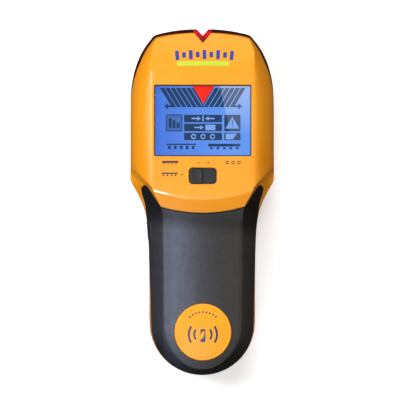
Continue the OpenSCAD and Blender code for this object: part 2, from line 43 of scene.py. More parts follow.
# ---------------------------------------------------------------- form of the casing, in millimetres
HW, GW, PZ, LIFT, HEEL, CR = 38.1, 28.2, 34.0, 4.5, -64.0, 27.0
WALL, GRIP = 2.2, 2.0
FRONT = [[-92, 31.2], [-88, 32.0], [-82, PZ - 1.0], [-50, PZ - 1.0], [-36, PZ - 1.4], [-24, PZ - 2.2],
         [-14, PZ - 3.2], [-8, PZ - 3.7], [-5.6, PZ - 3.4], [1.5, PZ], [64, PZ], [72, PZ - 0.7],
         [80, PZ - 2.0], [88, PZ - 3.8], [92, PZ - 4.8]]
BACK = [[-92, LIFT], [-21, LIFT], [-17, LIFT * 0.82], [-11, LIFT * 0.18], [-7, 0], [92, 0]]
CROWN = [[-92, 1.0], [-14, 1.0], [-4, 0], [92, 0]]
HEAD = [
    [0, 92, 15, 0, 88.9, 1.35, 0, 88.5], [9, 91.7, 15, 8.7, 88.65, 1.35, 8.5, 88.2],
    [18, 90.5, 15, 17.3, 87.5, 1.35, 17, 87], [24.8, 88.8, 15, 23.2, 86.1, 1.35, 22.5, 85.6],
    [27.1, 86.8, 15, 25.0, 84.8, 1.38, 24.4, 84.3], [31.1, 81.3, 15.3, CR, 79.5, 1.5, 28.2, 79.3],
    [34.2, 75, 15.8, CR, 73.5, 1.5, 31, 73.6], [HW - 1.5, 67.3, 16, CR, 66.5, 1.5, 33, 66.6],
    [HW - 0.2, 58, 16, CR, 57.5, 1.5, 34, 57.6], [HW, 46, 16, CR, 46, 1.5, 34.2, 46],
    [HW, 34, 16, CR, 32, 1.5, 34.2, 34], [HW, 25, 16, CR, 18, 1.5, 34.2, 25],
    [HW, 19.5, 16, CR, 9.2, 1.45, 34.2, 20], [HW + 0.1, 15.2, 15.5, 26.6, 7.0, 0.86, 34, 15],
    [HW - 0.1, 11.2, 15, 25.6, 4.6, 0.78, 33.6, 10.5], [35.4, 6.4, 14.5, 24, 1.4, 0.82, 31.5, 5.5],
    [32.6, 0.9, 14, 22.3, -2.0, 0.92, 28.8, 0], [GW + 2.2, -5.2, 14, 21.2, -6.3, 1.08, 26.2, -5.5],
    [GW + 0.9, -12.5, 14, 20.6, -13, 1.2, 24.2, -12], [GW + 0.3, -22, 14.5, 20.4, -22, 1.25, 22.4, -22],
    [GW, -34, 15, 20.3, -34, 1.25, 21.6, -34], [GW - 0.1, -48, 15.5, 20.2, -48, 1.25, 21.4, -48],
    [GW - 0.2, HEEL, 15.5, 20.1, HEEL + 1, 1.25, 21.2, HEEL]]
HEELS = []
for a in range(15, 91, 15):
    c, s = math.cos(math.radians(a)), math.sin(math.radians(a))
    HEELS.append([(GW - 0.2) * c, HEEL - 28 * s, 15.5, 20.1 * c, HEEL + 1 - 25.2 * s, 1.25 + 0.15 * s, 21.2 * c, HEEL - 20.5 * s])
ST = np.array(HEAD + HEELS, float)
LAST = len(ST) - 1


def interp(y, table):
    t = np.array(table, float)
    return np.interp(y, t[:, 0], t[:, 1])


def blurred(table, far, creases):
    """A table smoothed along its length, with each crease kept as tight as given."""
    ys = np.arange(-110, 110, 0.1)
    v = interp(ys, table)

    def blur(sig):
        k = np.arange(-60, 61) * 0.1
        w = np.exp(-0.5 * (k / sig) ** 2)
        return np.convolve(np.pad(v, 60, mode="edge"), w / w.sum(), mode="valid")
    out = blur(far)
    for c, near in creases:
        w = np.exp(-((ys - c) / 2.2) ** 2)
        out = out * (1 - w) + blur(near) * w
    return ys, out


FY, FV = blurred(FRONT, 1.6, ((-5.6, 0.35), (1.5, 0.85)))
BY, BV = blurred(BACK, 1.2, ())
CY, CV = blurred(CROWN, 1.5, ())


def front_z(x, y):
    return np.interp(y - 0.0066 * x * x, FY, FV) - np.interp(y, CY, CV) * (x / 20.3) ** 2


def back_z(y):
    return np.interp(y, BY, BV)


def station(i):
    if i < 0:
        return ST[-i] * np.array([-1, 1, 1, -1, 1, 1, -1, 1])
    if i > LAST:
        return ST[2 * LAST - i] * np.array([-1, 1, 1, -1, 1, 1, -1, 1])
    return ST[i]


def at(s):
    i = min(LAST - 1, int(math.floor(s)))
    t = s - i
    a, b, c, d = station(i - 1), station(i), station(i + 1), station(i + 2)
    return 0.5 * (2 * b + (c - a) * t + (2 * a - 5 * b + 4 * c - d) * t * t + (3 * b - a - 3 * c + d) * t ** 3)


def side_normal(s):
    if s <= 0:
        return np.array([0.0, 1.0])
    if s >= LAST:
        return np.array([0.0, -1.0])
    d = (at(min(LAST, s + 0.05)) - at(max(0, s - 0.05)))[:2]
    return np.array([-d[1], d[0]]) / np.hypot(*d)


NB, NL, NU, NF = 4, 10, 18, 14
NH = NB + NL + NU + NF


def half_section(s, head, handle):
    r, n = at(s), side_normal(s)
    o = np.interp(r[1], [-92, -6, 2, 92], [handle, handle, head, head])
    O = r[:2] - n * o
    C = r[3:5] - n * o * 0.55
    B = r[6:8] - n * o * 0.5
    cz, bz, oz = front_z(C[0], C[1]) - o, back_z(B[1]) + o, r[2]
    out = []
    for k in range(NB):
        out.append((B[0] * k / NB, B[1], bz))
    for k in range(NL):
        a = math.radians(90 * k / NL)
        h, v = max(0, math.sin(a)) ** 0.83, 1 - max(0, math.cos(a)) ** 0.83
        out.append((B[0] + (O[0] - B[0]) * h, B[1] + (O[1] - B[1]) * h, bz + (oz - bz) * v))
    crisp = max(0.0, r[5] - 1)
    e = 2 / (r[5] + 0.8 * crisp)
    for k in range(NU):
        a = math.radians(90 * k / NU)
        h, v = 1 - max(0, math.cos(a)) ** e, max(0, math.sin(a)) ** e
        out.append((O[0] + (C[0] - O[0]) * h, O[1] + (C[1] - O[1]) * h, oz + (cz - oz) * v - 9 * crisp * (1 - h) * v))
    for k in range(NF + 1):
        x = C[0] * (1 - k / NF)
        out.append((x, C[1], front_z(x, C[1]) - o))
    return np.array(out)


STEPS = list(np.arange(0, 4, 0.1)) + list(np.arange(4, 11, 0.1)) + list(np.arange(11, 19, 0.0625)) + list(np.arange(19, LAST + 0.001, 0.1))
STEPS[-1] = float(LAST)


def new_object(name, verts, faces):
    me = bpy.data.meshes.new(name)
    me.from_pydata([tuple(map(float, v)) for v in verts], [], faces)
    me.validate()
    o = bpy.data.objects.new(name, me)
    bpy.context.collection.objects.link(o)
    return o


def skin(name, head=0.0, handle=0.0):
    ring, n = 2 * NH, len(STEPS) - 1
    ends = NH - NF - NB + 1
    verts = list(half_section(0, head, handle)[NB:NH - NF + 1])
    for i in range(1, n):
        h = half_section(STEPS[i], head, handle)
        verts += list(h)
        verts += [(-p[0], p[1], p[2]) for p in h[NH - 1:0:-1]]
    verts += list(half_section(LAST, head, handle)[NB:NH - NF + 1])

    def idx(i, m):
        w = m % ring
        if 0 < i < n:
            return ends + (i - 1) * ring + w
        k = w if w <= NH else ring - w
        e = min(max(k, NB), NH - NF) - NB
        return e if i == 0 else ends + (n - 1) * ring + e
    faces = []
    for i in range(n):
        for m in range(ring):
            f = []
            for v in (idx(i, m), idx(i + 1, m), idx(i + 1, m + 1), idx(i, m + 1)):
                if v not in f:
                    f.append(v)
            if len(f) >= 3:
                faces.append(f)
    return outward(new_object(name, verts, faces))


def outward(o):
    bm = bmesh.new()
    bm.from_mesh(o.data)
    bmesh.ops.recalc_face_normals(bm, faces=bm.faces)
    if bm.calc_volume(signed=True) < 0:
        bmesh.ops.reverse_faces(bm, faces=bm.faces)
    bm.to_mesh(o.data)
    bm.free()
    return o


def smooth_line(pts, step=0.5):
    """Catmull-Rom through the points of an open line."""
    p = [np.array(q, float) for q in pts]
    p = [2 * p[0] - p[1]] + p + [2 * p[-1] - p[-2]]
    out = []
    for i in range(1, len(p) - 2):
        n = max(1, int(np.linalg.norm(p[i + 1] - p[i]) / step))
        for k in range(n):
            t = k / n
            a, b, c, d = p[i - 1], p[i], p[i + 1], p[i + 2]
            out.append(0.5 * (2 * b + (c - a) * t + (2 * a - 5 * b + 4 * c - d) * t * t + (3 * b - a - 3 * c + d) * t ** 3))
    out.append(p[-2])
    return out


def prism(name, outline, lo, hi, axis="z"):
    """A closed solid from a flat outline, drawn in (x, y) and raised along z, or drawn in (y, z) and spread along x."""
    n = len(outline)
    if axis == "z":
        v = [(p[0], p[1], lo) for p in outline] + [(p[0], p[1], hi) for p in outline]
    else:
        v = [(lo, p[0], p[1]) for p in outline] + [(hi, p[0], p[1]) for p in outline]
    f = [list(range(n))[::-1], list(range(n, 2 * n))]
    f += [[i, (i + 1) % n, n + (i + 1) % n, n + i] for i in range(n)]
    o = new_object(name, v, f)
    bm = bmesh.new()
    bm.from_mesh(o.data)
    bmesh.ops.triangulate(bm, faces=[x for x in bm.faces if len(x.verts) > 4])
    bm.to_mesh(o.data)
    bm.free()
    return outward(o)


def rounded(w, h, r, n=8, cx=0.0, cy=0.0):
    pts = []
    for sx, sy, a0 in ((1, 1, 0), (-1, 1, 90), (-1, -1, 180), (1, -1, 270)):
        for k in range(n + 1):
            a = math.radians(a0 + 90 * k / n)
            pts.append((cx + sx * (w / 2 - r) + r * math.cos(a), cy + sy * (h / 2 - r) + r * math.sin(a)))
    return pts


def loft(name, rings):
    """A closed solid through rings of the same number of points."""
    n = len(rings[0])
    v = [tuple(p) for r in rings for p in r]
    f = [list(range(n))[::-1], list(range((len(rings) - 1) * n, len(rings) * n))]
    for j in range(len(rings) - 1):
        f += [[j * n + i, j * n + (i + 1) % n, (j + 1) * n + (i + 1) % n, (j + 1) * n + i] for i in range(n)]
    return outward(new_object(name, v, f))


def tube(name, path, r, sides=10):
    p = [Vector(q) for q in path]
    rings = []
    up = Vector((0, 0, 1))
    for i, q in enumerate(p):
        t = (p[min(i + 1, len(p) - 1)] - p[max(i - 1, 0)]).normalized()
        a = t.cross(up)
        if a.length < 0.1:
            a = t.cross(Vector((0, 1, 0)))
        a.normalize()
        b = t.cross(a).normalized()
        rings.append([q + a * r * math.cos(2 * math.pi * k / sides) + b * r * math.sin(2 * math.pi * k / sides) for k in range(sides)])
    return loft(name, rings)


def hull_of(name, pts):
    me = bpy.data.meshes.new(name)
    bm = bmesh.new()
    for q in pts:
        bm.verts.new(q)
    got = bmesh.ops.convex_hull(bm, input=bm.verts)
    bmesh.ops.delete(bm, geom=[v for v in set(got["geom_interior"] + got["geom_unused"]) if isinstance(v, bmesh.types.BMVert)], context="VERTS")
    bm.to_mesh(me)
    bm.free()
    o = bpy.data.objects.new(name, me)
    bpy.context.collection.objects.link(o)
    return outward(o)


def boolean(a, op, b, keep=False):
    before = len(a.data.polygons)
    for solver in ("MANIFOLD", "EXACT"):
        m = a.modifiers.new("b", "BOOLEAN")
        m.operation, m.object, m.solver = op, b, solver
        dg = bpy.context.evaluated_depsgraph_get()
        me = bpy.data.meshes.new_from_object(a.evaluated_get(dg))
        a.modifiers.clear()
        if len(me.polygons) and not (solver == "MANIFOLD" and op == "DIFFERENCE" and len(me.polygons) == before and False):
            break
    if not len(me.polygons):
        print("BOOLEAN EMPTY", a.name, op, b.name)
        raise RuntimeError("empty boolean " + a.name + " " + b.name)
    a.data = me
    if not keep:
        drop(b)
    return a


def drop(o):
    bpy.data.objects.remove(o, do_unlink=True)


def copy(o, name):
    c = o.copy()
    c.data = o.data.copy()
    c.name = name
    bpy.context.collection.objects.link(c)
    return c


def clean(o, angle=32, merge=0.002):
    bm = bmesh.new()
    bm.from_mesh(o.data)
    bmesh.ops.remove_doubles(bm, verts=bm.verts, dist=merge)
    bmesh.ops.dissolve_degenerate(bm, edges=bm.edges, dist=0.0005)
    loose = [v for v in bm.verts if not v.link_faces]
    bmesh.ops.delete(bm, geom=loose, context="VERTS")
    lim = math.radians(angle)
    for f in bm.faces:
        f.smooth = True
    for e in bm.edges:
        e.smooth = not (len(e.link_faces) == 2 and e.calc_face_angle(0) > lim)
    bm.to_mesh(o.data)
    bm.free()
    return o


def to_metres(o):
    co = np.zeros(len(o.data.vertices) * 3, np.float32)
    o.data.vertices.foreach_get("co", co)
    o.data.vertices.foreach_set("co", co * MM)
    o.data.update()
    return o


# ---------------------------------------------------------------- parting lines
REAR_TOP = smooth_line([[-95, 16.2], [-84, 17.8], [-70, 19], [-52, 18.4], [-34, 15.2], [-22, 13], [-8, 12.2], [8, 13], [20, 14], [44, 15.4], [70, 13.4], [95, 12.4]], 1.0)
FRONT_LOW = smooth_line([[-95, 16.2], [-84, 17.8], [-70, 19], [-52, 18.4], [-34, 15.2], [-22, 13], [-8, 12.2], [8, 13], [20, 14], [42, 15.4], [56, 18.6], [68, 22.2], [78, 25.4], [87, 28.5], [95, 29.5]], 1.0)
GRIP_LOW = smooth_line([[-95, 16.2], [-84, 17.8], [-70, 19], [-52, 18.4], [-34, 15.2], [-22, 13.2], [-13, 13.6], [-8, 14.6], [-3.5, 15.5], [1.9, 16.4], [5, 17.4], [7.2, 18.9], [12, 22]], 0.7)
HORN = smooth_line([[22.1, -2.5], [24.4, 0.9], [27.2, 5.3], [28.8, 7.6], [29.6, 8.5], [30.6, 8.8], [31.6, 8.4], [32.3, 7.5], [32.8, 6.2]], 0.3)


def side_region(name, line, low, grow=0.0):
    pts = [(p[0], p[1] + grow) for p in line]
    end = -6 if low else 61
    return prism(name, pts + [(pts[-1][0], end), (pts[0][0], end)], -60, 60, axis="x")


def plan_line(grow=0.0):
    arch = [(x, -5.7 + 0.0066 * x * x) for x in np.arange(-21, 21.01, 1.0)]
    right = [(p[0], p[1]) for p in HORN]
    line = [(-p[0], p[1]) for p in right[::-1]] + arch + right
    return [(p[0], p[1] + grow) for p in line]


def grip_zone(name, grow=0.0):
    pts = [(-60, -100), (-60, 5.9 + grow)] + plan_line(grow) + [(60, 5.9 + grow), (60, -100)]
    z = prism(name, pts, -5, 55)
    return boolean(z, "INTERSECT", side_region("t", GRIP_LOW, False, -grow))


full = skin("full")
hit = BVHTree.FromObject(full, bpy.context.evaluated_depsgraph_get())


def on_top(x, y):
    p = hit.ray_cast(Vector((x, y, 80)), Vector((0, 0, -1)))[0]
    return tuple(p) if p else (x, y, 20)


def side_curve(line, y_hi, y_lo, both=True, out=0.0):
    """Where the skin's side crosses a parting line, for one flank, nose to heel."""
    ys, zs = np.array([p[0] for p in line]), np.array([p[1] for p in line])
    pts = []
    for s in np.arange(0, LAST + 0.001, 0.12):
        h = half_section(min(s, LAST), 0, 0)[NB:NH - NF + 1]
        d = h[:, 2] - np.interp(h[:, 1], ys, zs)
        k = np.where((d[:-1] < 0) & (d[1:] >= 0))[0]
        if len(k):
            k = k[0]
            t = -d[k] / (d[k + 1] - d[k])
            q = h[k] * (1 - t) + h[k + 1] * t
            if y_lo <= q[1] <= y_hi:
                pts.append(tuple(q))
    return pts


def mirrored(p):
    return [(-q[0], q[1], q[2]) for q in p]


def loop_round(right):
    """Right flank from front to heel, then the left flank back."""
    return right + mirrored(right)[::-1][1:]


# seam between casing and grip: up one flank, round the horn, across the arch, and down the other
top_seam = [on_top(x, y) for x, y in plan_line() if abs(x) < 31.2]
grip_right = side_curve(GRIP_LOW, 8.0, -93)
heel_seam = loop_round(grip_right)

# ---------------------------------------------------------------- shells
inner = skin("inner", WALL, WALL + GRIP)
seat = skin("seat", GRIP + 0.06, GRIP + 0.06)

front = copy(full, "front_shell")
boolean(front, "INTERSECT", side_region("t", FRONT_LOW, False, 0.06))
boolean(front, "DIFFERENCE", inner, keep=True)
zone = grip_zone("zone", 0.1)
boolean(zone, "DIFFERENCE", seat, keep=True)
boolean(front, "DIFFERENCE", zone)
boolean(front, "DIFFERENCE", prism("t", [(-8.5, 94), (-0.17, 84.05), (0.21, 84.05), (8.5, 94)], 10, 45))
WX, WY, WW, WH = 0.0, 42.9, 51.2, 37.5
z = [PZ - 6, PZ - 0.55, PZ - 0.25, PZ - 0.02, PZ + 3]
g = [0, 0, 0.12, 0.42, 0.42]
boolean(front, "DIFFERENCE", loft("t", [[(x, y, zz) for x, y in rounded(WW + 2 * gg, WH + 2 * gg, 0.7 + gg, 6, WX, WY)] for zz, gg in zip(z, g)]))
boolean(front, "DIFFERENCE", prism("t", rounded(WW + 4.2, WH + 4.2, 1, 6, WX, WY), PZ - 6, PZ - 2.05))
MY = 13.7
g = [0, 0, 0.15, 0.5, 0.5]
boolean(front, "DIFFERENCE", loft("t", [[(x, y, zz) for x, y in rounded(14.6 + 2 * gg, 8.5 + 2 * gg, 2.0 + gg, 8, 0, MY)] for zz, gg in zip(z, g)]))
boolean(front, "DIFFERENCE", prism("t", rounded(30.6, 11, 1, 6, 0, MY), PZ - 5, PZ - 1.2))


def button_cut(name, grow=0.0):
    return loft(name, [[(x, q[0], q[1]) for q in rounded(11.4 + grow, 5.6 + grow, 2.7 + grow / 2, 8, -15, 16.8)] for x in (-40, -15)])


boolean(front, "DIFFERENCE", button_cut("t"))
boolean(front, "DIFFERENCE", tube("t", [(p[0], p[1], p[2] + 0.05) for p in top_seam], 0.32))
low_right = [p for p in grip_right if p[1] < -9]
boolean(front, "DIFFERENCE", tube("t", low_right, 0.25))
boolean(front, "DIFFERENCE", tube("t", mirrored(low_right), 0.25))

rear = copy(full, "rear_shell")
boolean(rear, "INTERSECT", side_region("t", REAR_TOP, True, -0.06))
inner2 = skin("inner2", WALL, WALL + 0.4)
boolean(rear, "DIFFERENCE", inner2)
back_wall = skin("t", 0.6, 0.6)
boolean(back_wall, "INTERSECT", prism("t", [(-7.8, 94), (-0.17, 85.3), (0.21, 85.3), (7.8, 94)], -1, 30))
boolean(back_wall, "INTERSECT", side_region("t", REAR_TOP, True, -0.06))
boolean(rear, "UNION", back_wall)
boolean(rear, "DIFFERENCE", prism("t", [(-5.1, 94), (-0.15, 88.0), (0.19, 88.0), (5.1, 94)], -5, 45))
boolean(rear, "DIFFERENCE", prism("t", [(-14.3, -81.4), (14.3, -81.4), (14.3, -30.3), (-14.3, -30.3)], -1, 11))
boolean(rear, "DIFFERENCE", prism("t", [(-12.9, -31.5), (12.9, -31.5), (12.9, -25.0), (-12.9, -25.0)], -1, 11.2))
boolean(rear, "DIFFERENCE", prism("t", rounded(9, 5, 1.5, 6, 0, -82.4), 2.5, 7.5))
for x, y, zz in ((26.5, 3.5, 0), (-26.5, 3.5, 0), (19.2, -66, LIFT), (-19.2, -66, LIFT)):
    boolean(rear, "DIFFERENCE", prism("t", [(x + 2.6 * math.cos(a), y + 2.6 * math.sin(a)) for a in np.linspace(0, 2 * math.pi, 33)[:-1]], -1, 40))
boolean(rear, "DIFFERENCE", button_cut("t"))
rear_right = side_curve(REAR_TOP, 95, -93)
boolean(rear, "DIFFERENCE", tube("t", [p for p in loop_round(rear_right)], 0.22, 8))

grip = copy(full, "grip_skin")
boolean(grip, "INTERSECT", grip_zone("t", 0.0))
boolean(grip, "DIFFERENCE", skin("t", GRIP, GRIP))
boolean(grip, "DIFFERENCE", prism("t", [(15.25 * math.cos(a), -68.6 + 15.25 * math.sin(a)) for a in np.linspace(0, 2 * math.pi, 129)[:-1]], 20, 50))
boolean(grip, "DIFFERENCE", button_cut("t", 0.3))
boolean(grip, "DIFFERENCE", tube("t", [(p[0], p[1] - 0.15, p[2] + 0.1) for p in top_seam], 0.75, 12))
boolean(grip, "DIFFERENCE", tube("t", [(p[0], p[1], p[2]) for p in heel_seam], 0.2, 8))

button = skin("power_key_cap", -0.3, -0.3)
boolean(button, "INTERSECT", loft("t", [[(x, q[0], q[1]) for q in rounded(10.9, 5.1, 2.4, 10, -15, 16.8)] for x in (-34, -22.3)]))
boolean(button, "UNION", loft("t", [[(x, q[0], q[1]) for q in rounded(13, 4.2, 1.8, 10, -15, 16.8)] for x in (-22.6, -22.0)]))
lens = skin("lens", 0.05, 0.05)
lens.name = "nose_lens_cover"
boolean(lens, "INTERSECT", side_region("t", FRONT_LOW, True, -0.06))
boolean(lens, "INTERSECT", side_region("t", REAR_TOP, False, 0.06))
boolean(lens, "INTERSECT", prism("t", [(-60, 43), (60, 43), (60, 100), (-60, 100)], 0, 60))
boolean(lens, "DIFFERENCE", inner, keep=True)
wedge = skin("wedge", 0.3, 0.3)
boolean(wedge, "INTERSECT", prism("t", [(-8.4, 94), (-0.17, 84.17), (0.21, 84.17), (8.4, 94)], 14, 45))
boolean(wedge, "INTERSECT", side_region("t", REAR_TOP, False, 0.06))
boolean(lens, "UNION", wedge)
boolean(lens, "DIFFERENCE", prism("t", [(-5.1, 94), (-0.15, 88.0), (0.19, 88.0), (5.1, 94)], -5, 45))
T, N = np.array((0, 84.35, 30.8)), np.array((0, 88.0, 28.2))
for sgn in (1, -1):
    E = np.array((sgn * 4.7, 89.5, 28.35))
    tip, far, cen = T, T + (E - T) * 2.2, T + (N - T) * 3.2
    boolean(lens, "DIFFERENCE", hull_of("t", [tuple(p) for p in (tip, far, cen)] + [tuple(p + np.array((0, 0, 15))) for p in (tip, far, cen)] + [(-0.02 * sgn, 95, 40), (-0.02 * sgn, 84.5, 40)]))

bm = bmesh.new()
bm.from_mesh(lens.data)
for sgn in (1, -1):
    bmesh.ops.bisect_plane(bm, geom=bm.verts[:] + bm.edges[:] + bm.faces[:], plane_co=(sgn * 4.8, 0, 0), plane_no=(1, 0, 0))
bm.to_mesh(lens.data)
bm.free()

for o in (front, rear, grip, lens, button):
    clean(o)

# ---------------------------------------------------------------- small turned and moulded pieces
def turned(name, profile, cx, cy, sides=128):
    rings = [[(cx + r * math.cos(2 * math.pi * k / sides), cy + r * math.sin(2 * math.pi * k / sides), zz) for k in range(sides)] for r, zz in profile]
    return clean(loft(name, rings), 40)


BR, BYC = 15.0, -68.6
prof = [(14.4, PZ - 2.9), (BR - 0.02, PZ - 2.8), (BR, PZ - 1.15), (BR - 0.1, PZ - 0.93), (BR - 0.35, PZ - 0.78), (BR - 0.75, PZ - 0.74), (BR - 1.05, PZ - 0.8), (BR - 1.3, PZ - 0.72)]
for k in range(1, 15):
    t = k / 15
    prof.append(((BR - 1.3) * (1 - t), PZ - 0.72 + 0.9 * (1 - (1 - t) ** 2)))
prof.append((0.05, PZ - 0.72 + 0.9))
badge = turned("badge_disc", prof, 0, BYC)


def rounded_block(name, w, h, z0, z1, r, edge, cx, cy, n=8):
    """A block with rounded corners in plan and a rolled upper edge."""
    rings = [[(x, y, z0) for x, y in rounded(w, h, r, n, cx, cy)]]
    for k in range(0, 6):
        a = math.radians(90 * k / 5)
        d = edge * (1 - math.cos(a))
        rings.append([(x, y, z1 - edge + edge * math.sin(a)) for x, y in rounded(w - 2 * d, h - 2 * d, max(r - d, 0.05), n, cx, cy)])
    return loft(name, rings)


KX = -3.5
knob = rounded_block("mode_knob_cap", 22.6, 10.2, PZ - 2.4, PZ - 1.3, 0.8, 0.15, KX, MY)
cap = rounded_block("t", 6.4, 7.6, PZ - 1.5, PZ + 0.25, 0.9, 0.35, KX, MY)
boolean(knob, "UNION", cap)
for i, x in enumerate((-2.3, -1.45, -0.6, 0.25)):
    boolean(knob, "UNION", rounded_block("t", 0.42, 6.2, PZ - 0.4, PZ + 0.5, 0.2, 0.18, KX + x, MY, 4))
boolean(knob, "DIFFERENCE", prism("t", rounded(1.5, 5.9, 0.5, 5, KX + 1.85, MY), PZ - 0.35, PZ + 2))
boolean(knob, "UNION", prism("t", [(KX - 1.9, MY - 1.9), (KX + 1.9, MY - 1.9), (KX + 1.9, MY + 1.9), (KX - 1.9, MY + 1.9)], 27.4, PZ - 2.3))
boolean(knob, "DIFFERENCE", prism("t", [(KX - 1.1, MY - 1.1), (KX + 1.1, MY - 1.1), (KX + 1.1, MY + 1.1), (KX - 1.1, MY + 1.1)], 26, 29.6))
clean(knob, 30)

window = rounded_block("window_pane", WW - 0.3, WH - 0.3, PZ - 2.9, PZ - 0.7, 0.6, 0.22, WX, WY)
boolean(window, "UNION", prism("t", rounded(WW + 3.4, WH + 3.4, 0.8, 6, WX, WY), PZ - 3.1, PZ - 2.3))
clean(window, 30)

# ---------------------------------------------------------------- printed marks and display segments
def flat(polys, z0, z1):
    """Flat closed shapes gathered in one mesh: each is a list of (x, y)."""
    v, f = [], []
    for p in polys:
        n, b = len(p), len(v)
        zz = [z0(q[0], q[1]) if callable(z0) else z0 for q in p]
        th = z1 - z0 if not callable(z0) else z1
        v += [(q[0], q[1], a) for q, a in zip(p, zz)] + [(q[0], q[1], a + th) for q, a in zip(p, zz)]
        f += [list(range(b, b + n))[::-1], list(range(b + n, b + 2 * n))]
        f += [[b + i, b + (i + 1) % n, b + n + (i + 1) % n, b + n + i] for i in range(n)]
    return v, f


def marks(name, polys, z0, z1):
    v, f = flat(polys, z0, z1)
    return outward(new_object(name, v, f))


def X(px):
    return (px - 202.6) * 0.532


def Y(py):
    return (201.75 - py) * 0.532


def rect(x0, y0, x1, y1):
    return [(x0, y0), (x1, y0), (x1, y1), (x0, y1)]


def disc(x, y, r, n=20):
    return [(x + r * math.cos(2 * math.pi * k / n), y + r * math.sin(2 * math.pi * k / n)) for k in range(n)]


def ring_parts(x, y, r0, r1, n=16, a0=0.0, a1=360.0):
    out = []
    for k in range(n):
        a, b = math.radians(a0 + (a1 - a0) * k / n), math.radians(a0 + (a1 - a0) * (k + 1) / n)
        out.append([(x + r * math.cos(t), y + r * math.sin(t)) for r, t in ((r0, a), (r1, a), (r1, b), (r0, b))])
    return out


def ring(x, y, r0, r1, n=32, a0=0.0, a1=340.0):
    """One open band, so it stays a simple closed outline."""
    aa = [math.radians(a0 + (a1 - a0) * k / n) for k in range(n + 1)]
    return [(x + r1 * math.cos(t), y + r1 * math.sin(t)) for t in aa] + [(x + r0 * math.cos(t), y + r0 * math.sin(t)) for t in aa[::-1]]


LZ = 29.93
dark, light, over, haze = [], [], [], []
for i in range(7):
    w = 4.2
    for sgn, top, bot in ((1, 160.1, 172.0), (-1, 245.0, 233.5)):
        a, b = top + sgn * 5.2 * i, bot + sgn * 5.2 * i
        q = [(X(a), Y(88.6)), (X(a + sgn * w), Y(88.6)), (X(b + sgn * w * (0.2 if i == 6 else 1)), Y(107.6)), (X(b), Y(107.6))]
        dark.append(q if sgn > 0 else q[::-1])
for sgn, x0 in ((-1, 164.2), (1, 241.7)):
    dark.append([(X(x0), Y(106.8)), (X(x0 - sgn * 4), Y(103.6)), (X(x0 - sgn * 4), Y(110.0))][::(-1 if sgn > 0 else 1)])
    dark.append(rect(min(X(x0 - sgn * 4), X(x0 - sgn * 8.5)), Y(107.7), max(X(x0 - sgn * 4), X(x0 - sgn * 8.5)), Y(105.9)))
dark.append(rounded(X(182.3) - X(165.9), Y(114.8) - Y(131.7), 0.5, 4, (X(182.3) + X(165.9)) / 2, (Y(114.8) + Y(131.7)) / 2))
haze.append(rounded(X(181.5) - X(166.7), Y(115.6) - Y(130.9), 0.3, 4, (X(181.5) + X(166.7)) / 2, (Y(115.6) + Y(130.9)) / 2))
for a, b, t in ((168.8, 171.8, 118.7), (172.7, 175.5, 120.6), (176.6, 179.6, 123.2)):
    over.append(rect(X(a), Y(128.3), X(b), Y(t)))
for x in (167.5, 180.8):
    over.append(rect(X(x - 0.15), Y(130.1), X(x + 0.15), Y(116.4)))
for y in (116.4, 130.1):
    over.append(rect(X(167.65), Y(y + 0.15), X(180.65), Y(y - 0.15)))
for t, b in ((115.2, 122.6), (124.1, 131.5), (133.1, 140.4)):
    dark.append(rounded(X(221.7) - X(184.1), Y(t) - Y(b), 0.4, 4, (X(221.7) + X(184.1)) / 2, (Y(t) + Y(b)) / 2))
cx = (X(221.7) + X(184.1)) / 2


def arrow(x, y, d, s=1.0):
    return [[(x, y), (x - d * 1.9 * s, y + 1.15 * s), (x - d * 1.9 * s, y - 1.15 * s)][::(1 if d > 0 else -1)],
            rect(min(x - d * 1.8 * s, x - d * 5.0 * s), y - 0.35 * s, max(x - d * 1.8 * s, x - d * 5.0 * s), y + 0.35 * s)]


y0 = (Y(115.2) + Y(122.6)) / 2
light += [rect(cx - 0.35, y0 - 1.45, cx + 0.35, y0 + 1.45)] + arrow(cx - 1.1, y0, 1) + arrow(cx + 1.1, y0, -1)
y0 = (Y(124.1) + Y(131.5)) / 2
light += [rect(cx + 1.2, y0 - 1.45, cx + 6.5, y0 + 1.45)] + arrow(cx + 0.4, y0, 1)
y0 = (Y(133.1) + Y(140.4)) / 2
light += [ring(cx - 5, y0, 0.75, 1.4, 18), ring(cx, y0, 0.75, 1.4, 18), ring(cx + 5, y0, 0.75, 1.4, 18)]
dark.append(rounded(X(240.1) - X(224), Y(115.2) - Y(131.5), 0.5, 4, (X(240.1) + X(224)) / 2, (Y(115.2) + Y(131.5)) / 2))
light.append([(X(225.1), Y(128.9)), (X(238.9), Y(128.9)), (X(232.0), Y(117.0))])
dark.append(rounded(X(240.1) - X(224), Y(133.1) - Y(140.4), 0.4, 4, (X(240.1) + X(224)) / 2, (Y(133.1) + Y(140.4)) / 2))
light.append([(X(225.4), Y(139.6)), (X(232.2), Y(139.6)), (X(236.6), Y(133.9)), (X(225.4), Y(133.9))])
over += [rect(X(231.55), Y(125.0), X(232.45), Y(120.6)), rect(X(231.55), Y(127.6), X(232.45), Y(126.2))]
# two mode pictograms: studs behind a thin wall and behind a thick one
for x0, x1, thick in ((166.5, 196.0, 0.7), (208.0, 240.0, 1.5)):
    dark.append(rect(X(x0), Y(143.9) - thick, X(x1), Y(143.9)))
    n = 5
    for k in range(n):
        xx = X(x0) + (X(x1) - X(x0)) * (k + 0.5) / n
        dark.append(rect(xx - 0.7, Y(149.3), xx + 0.7, Y(143.9) - thick - 0.35))
seg_dark = marks("lcd_segments", dark, LZ, LZ + 0.05)
seg_light = marks("lcd_segments_clear", light, LZ + 0.06, LZ + 0.1)
seg_haze = marks("lcd_signal_field", haze, LZ + 0.06, LZ + 0.1)
seg_over = marks("lcd_warning_bar", over, LZ + 0.11, LZ + 0.15)
tri = marks("red_pointer", [[(X(192.0), Y(86.0)), (X(203.0), Y(104.0)), (X(214.8), Y(86.0))][::-1]], 30.3, 30.5)

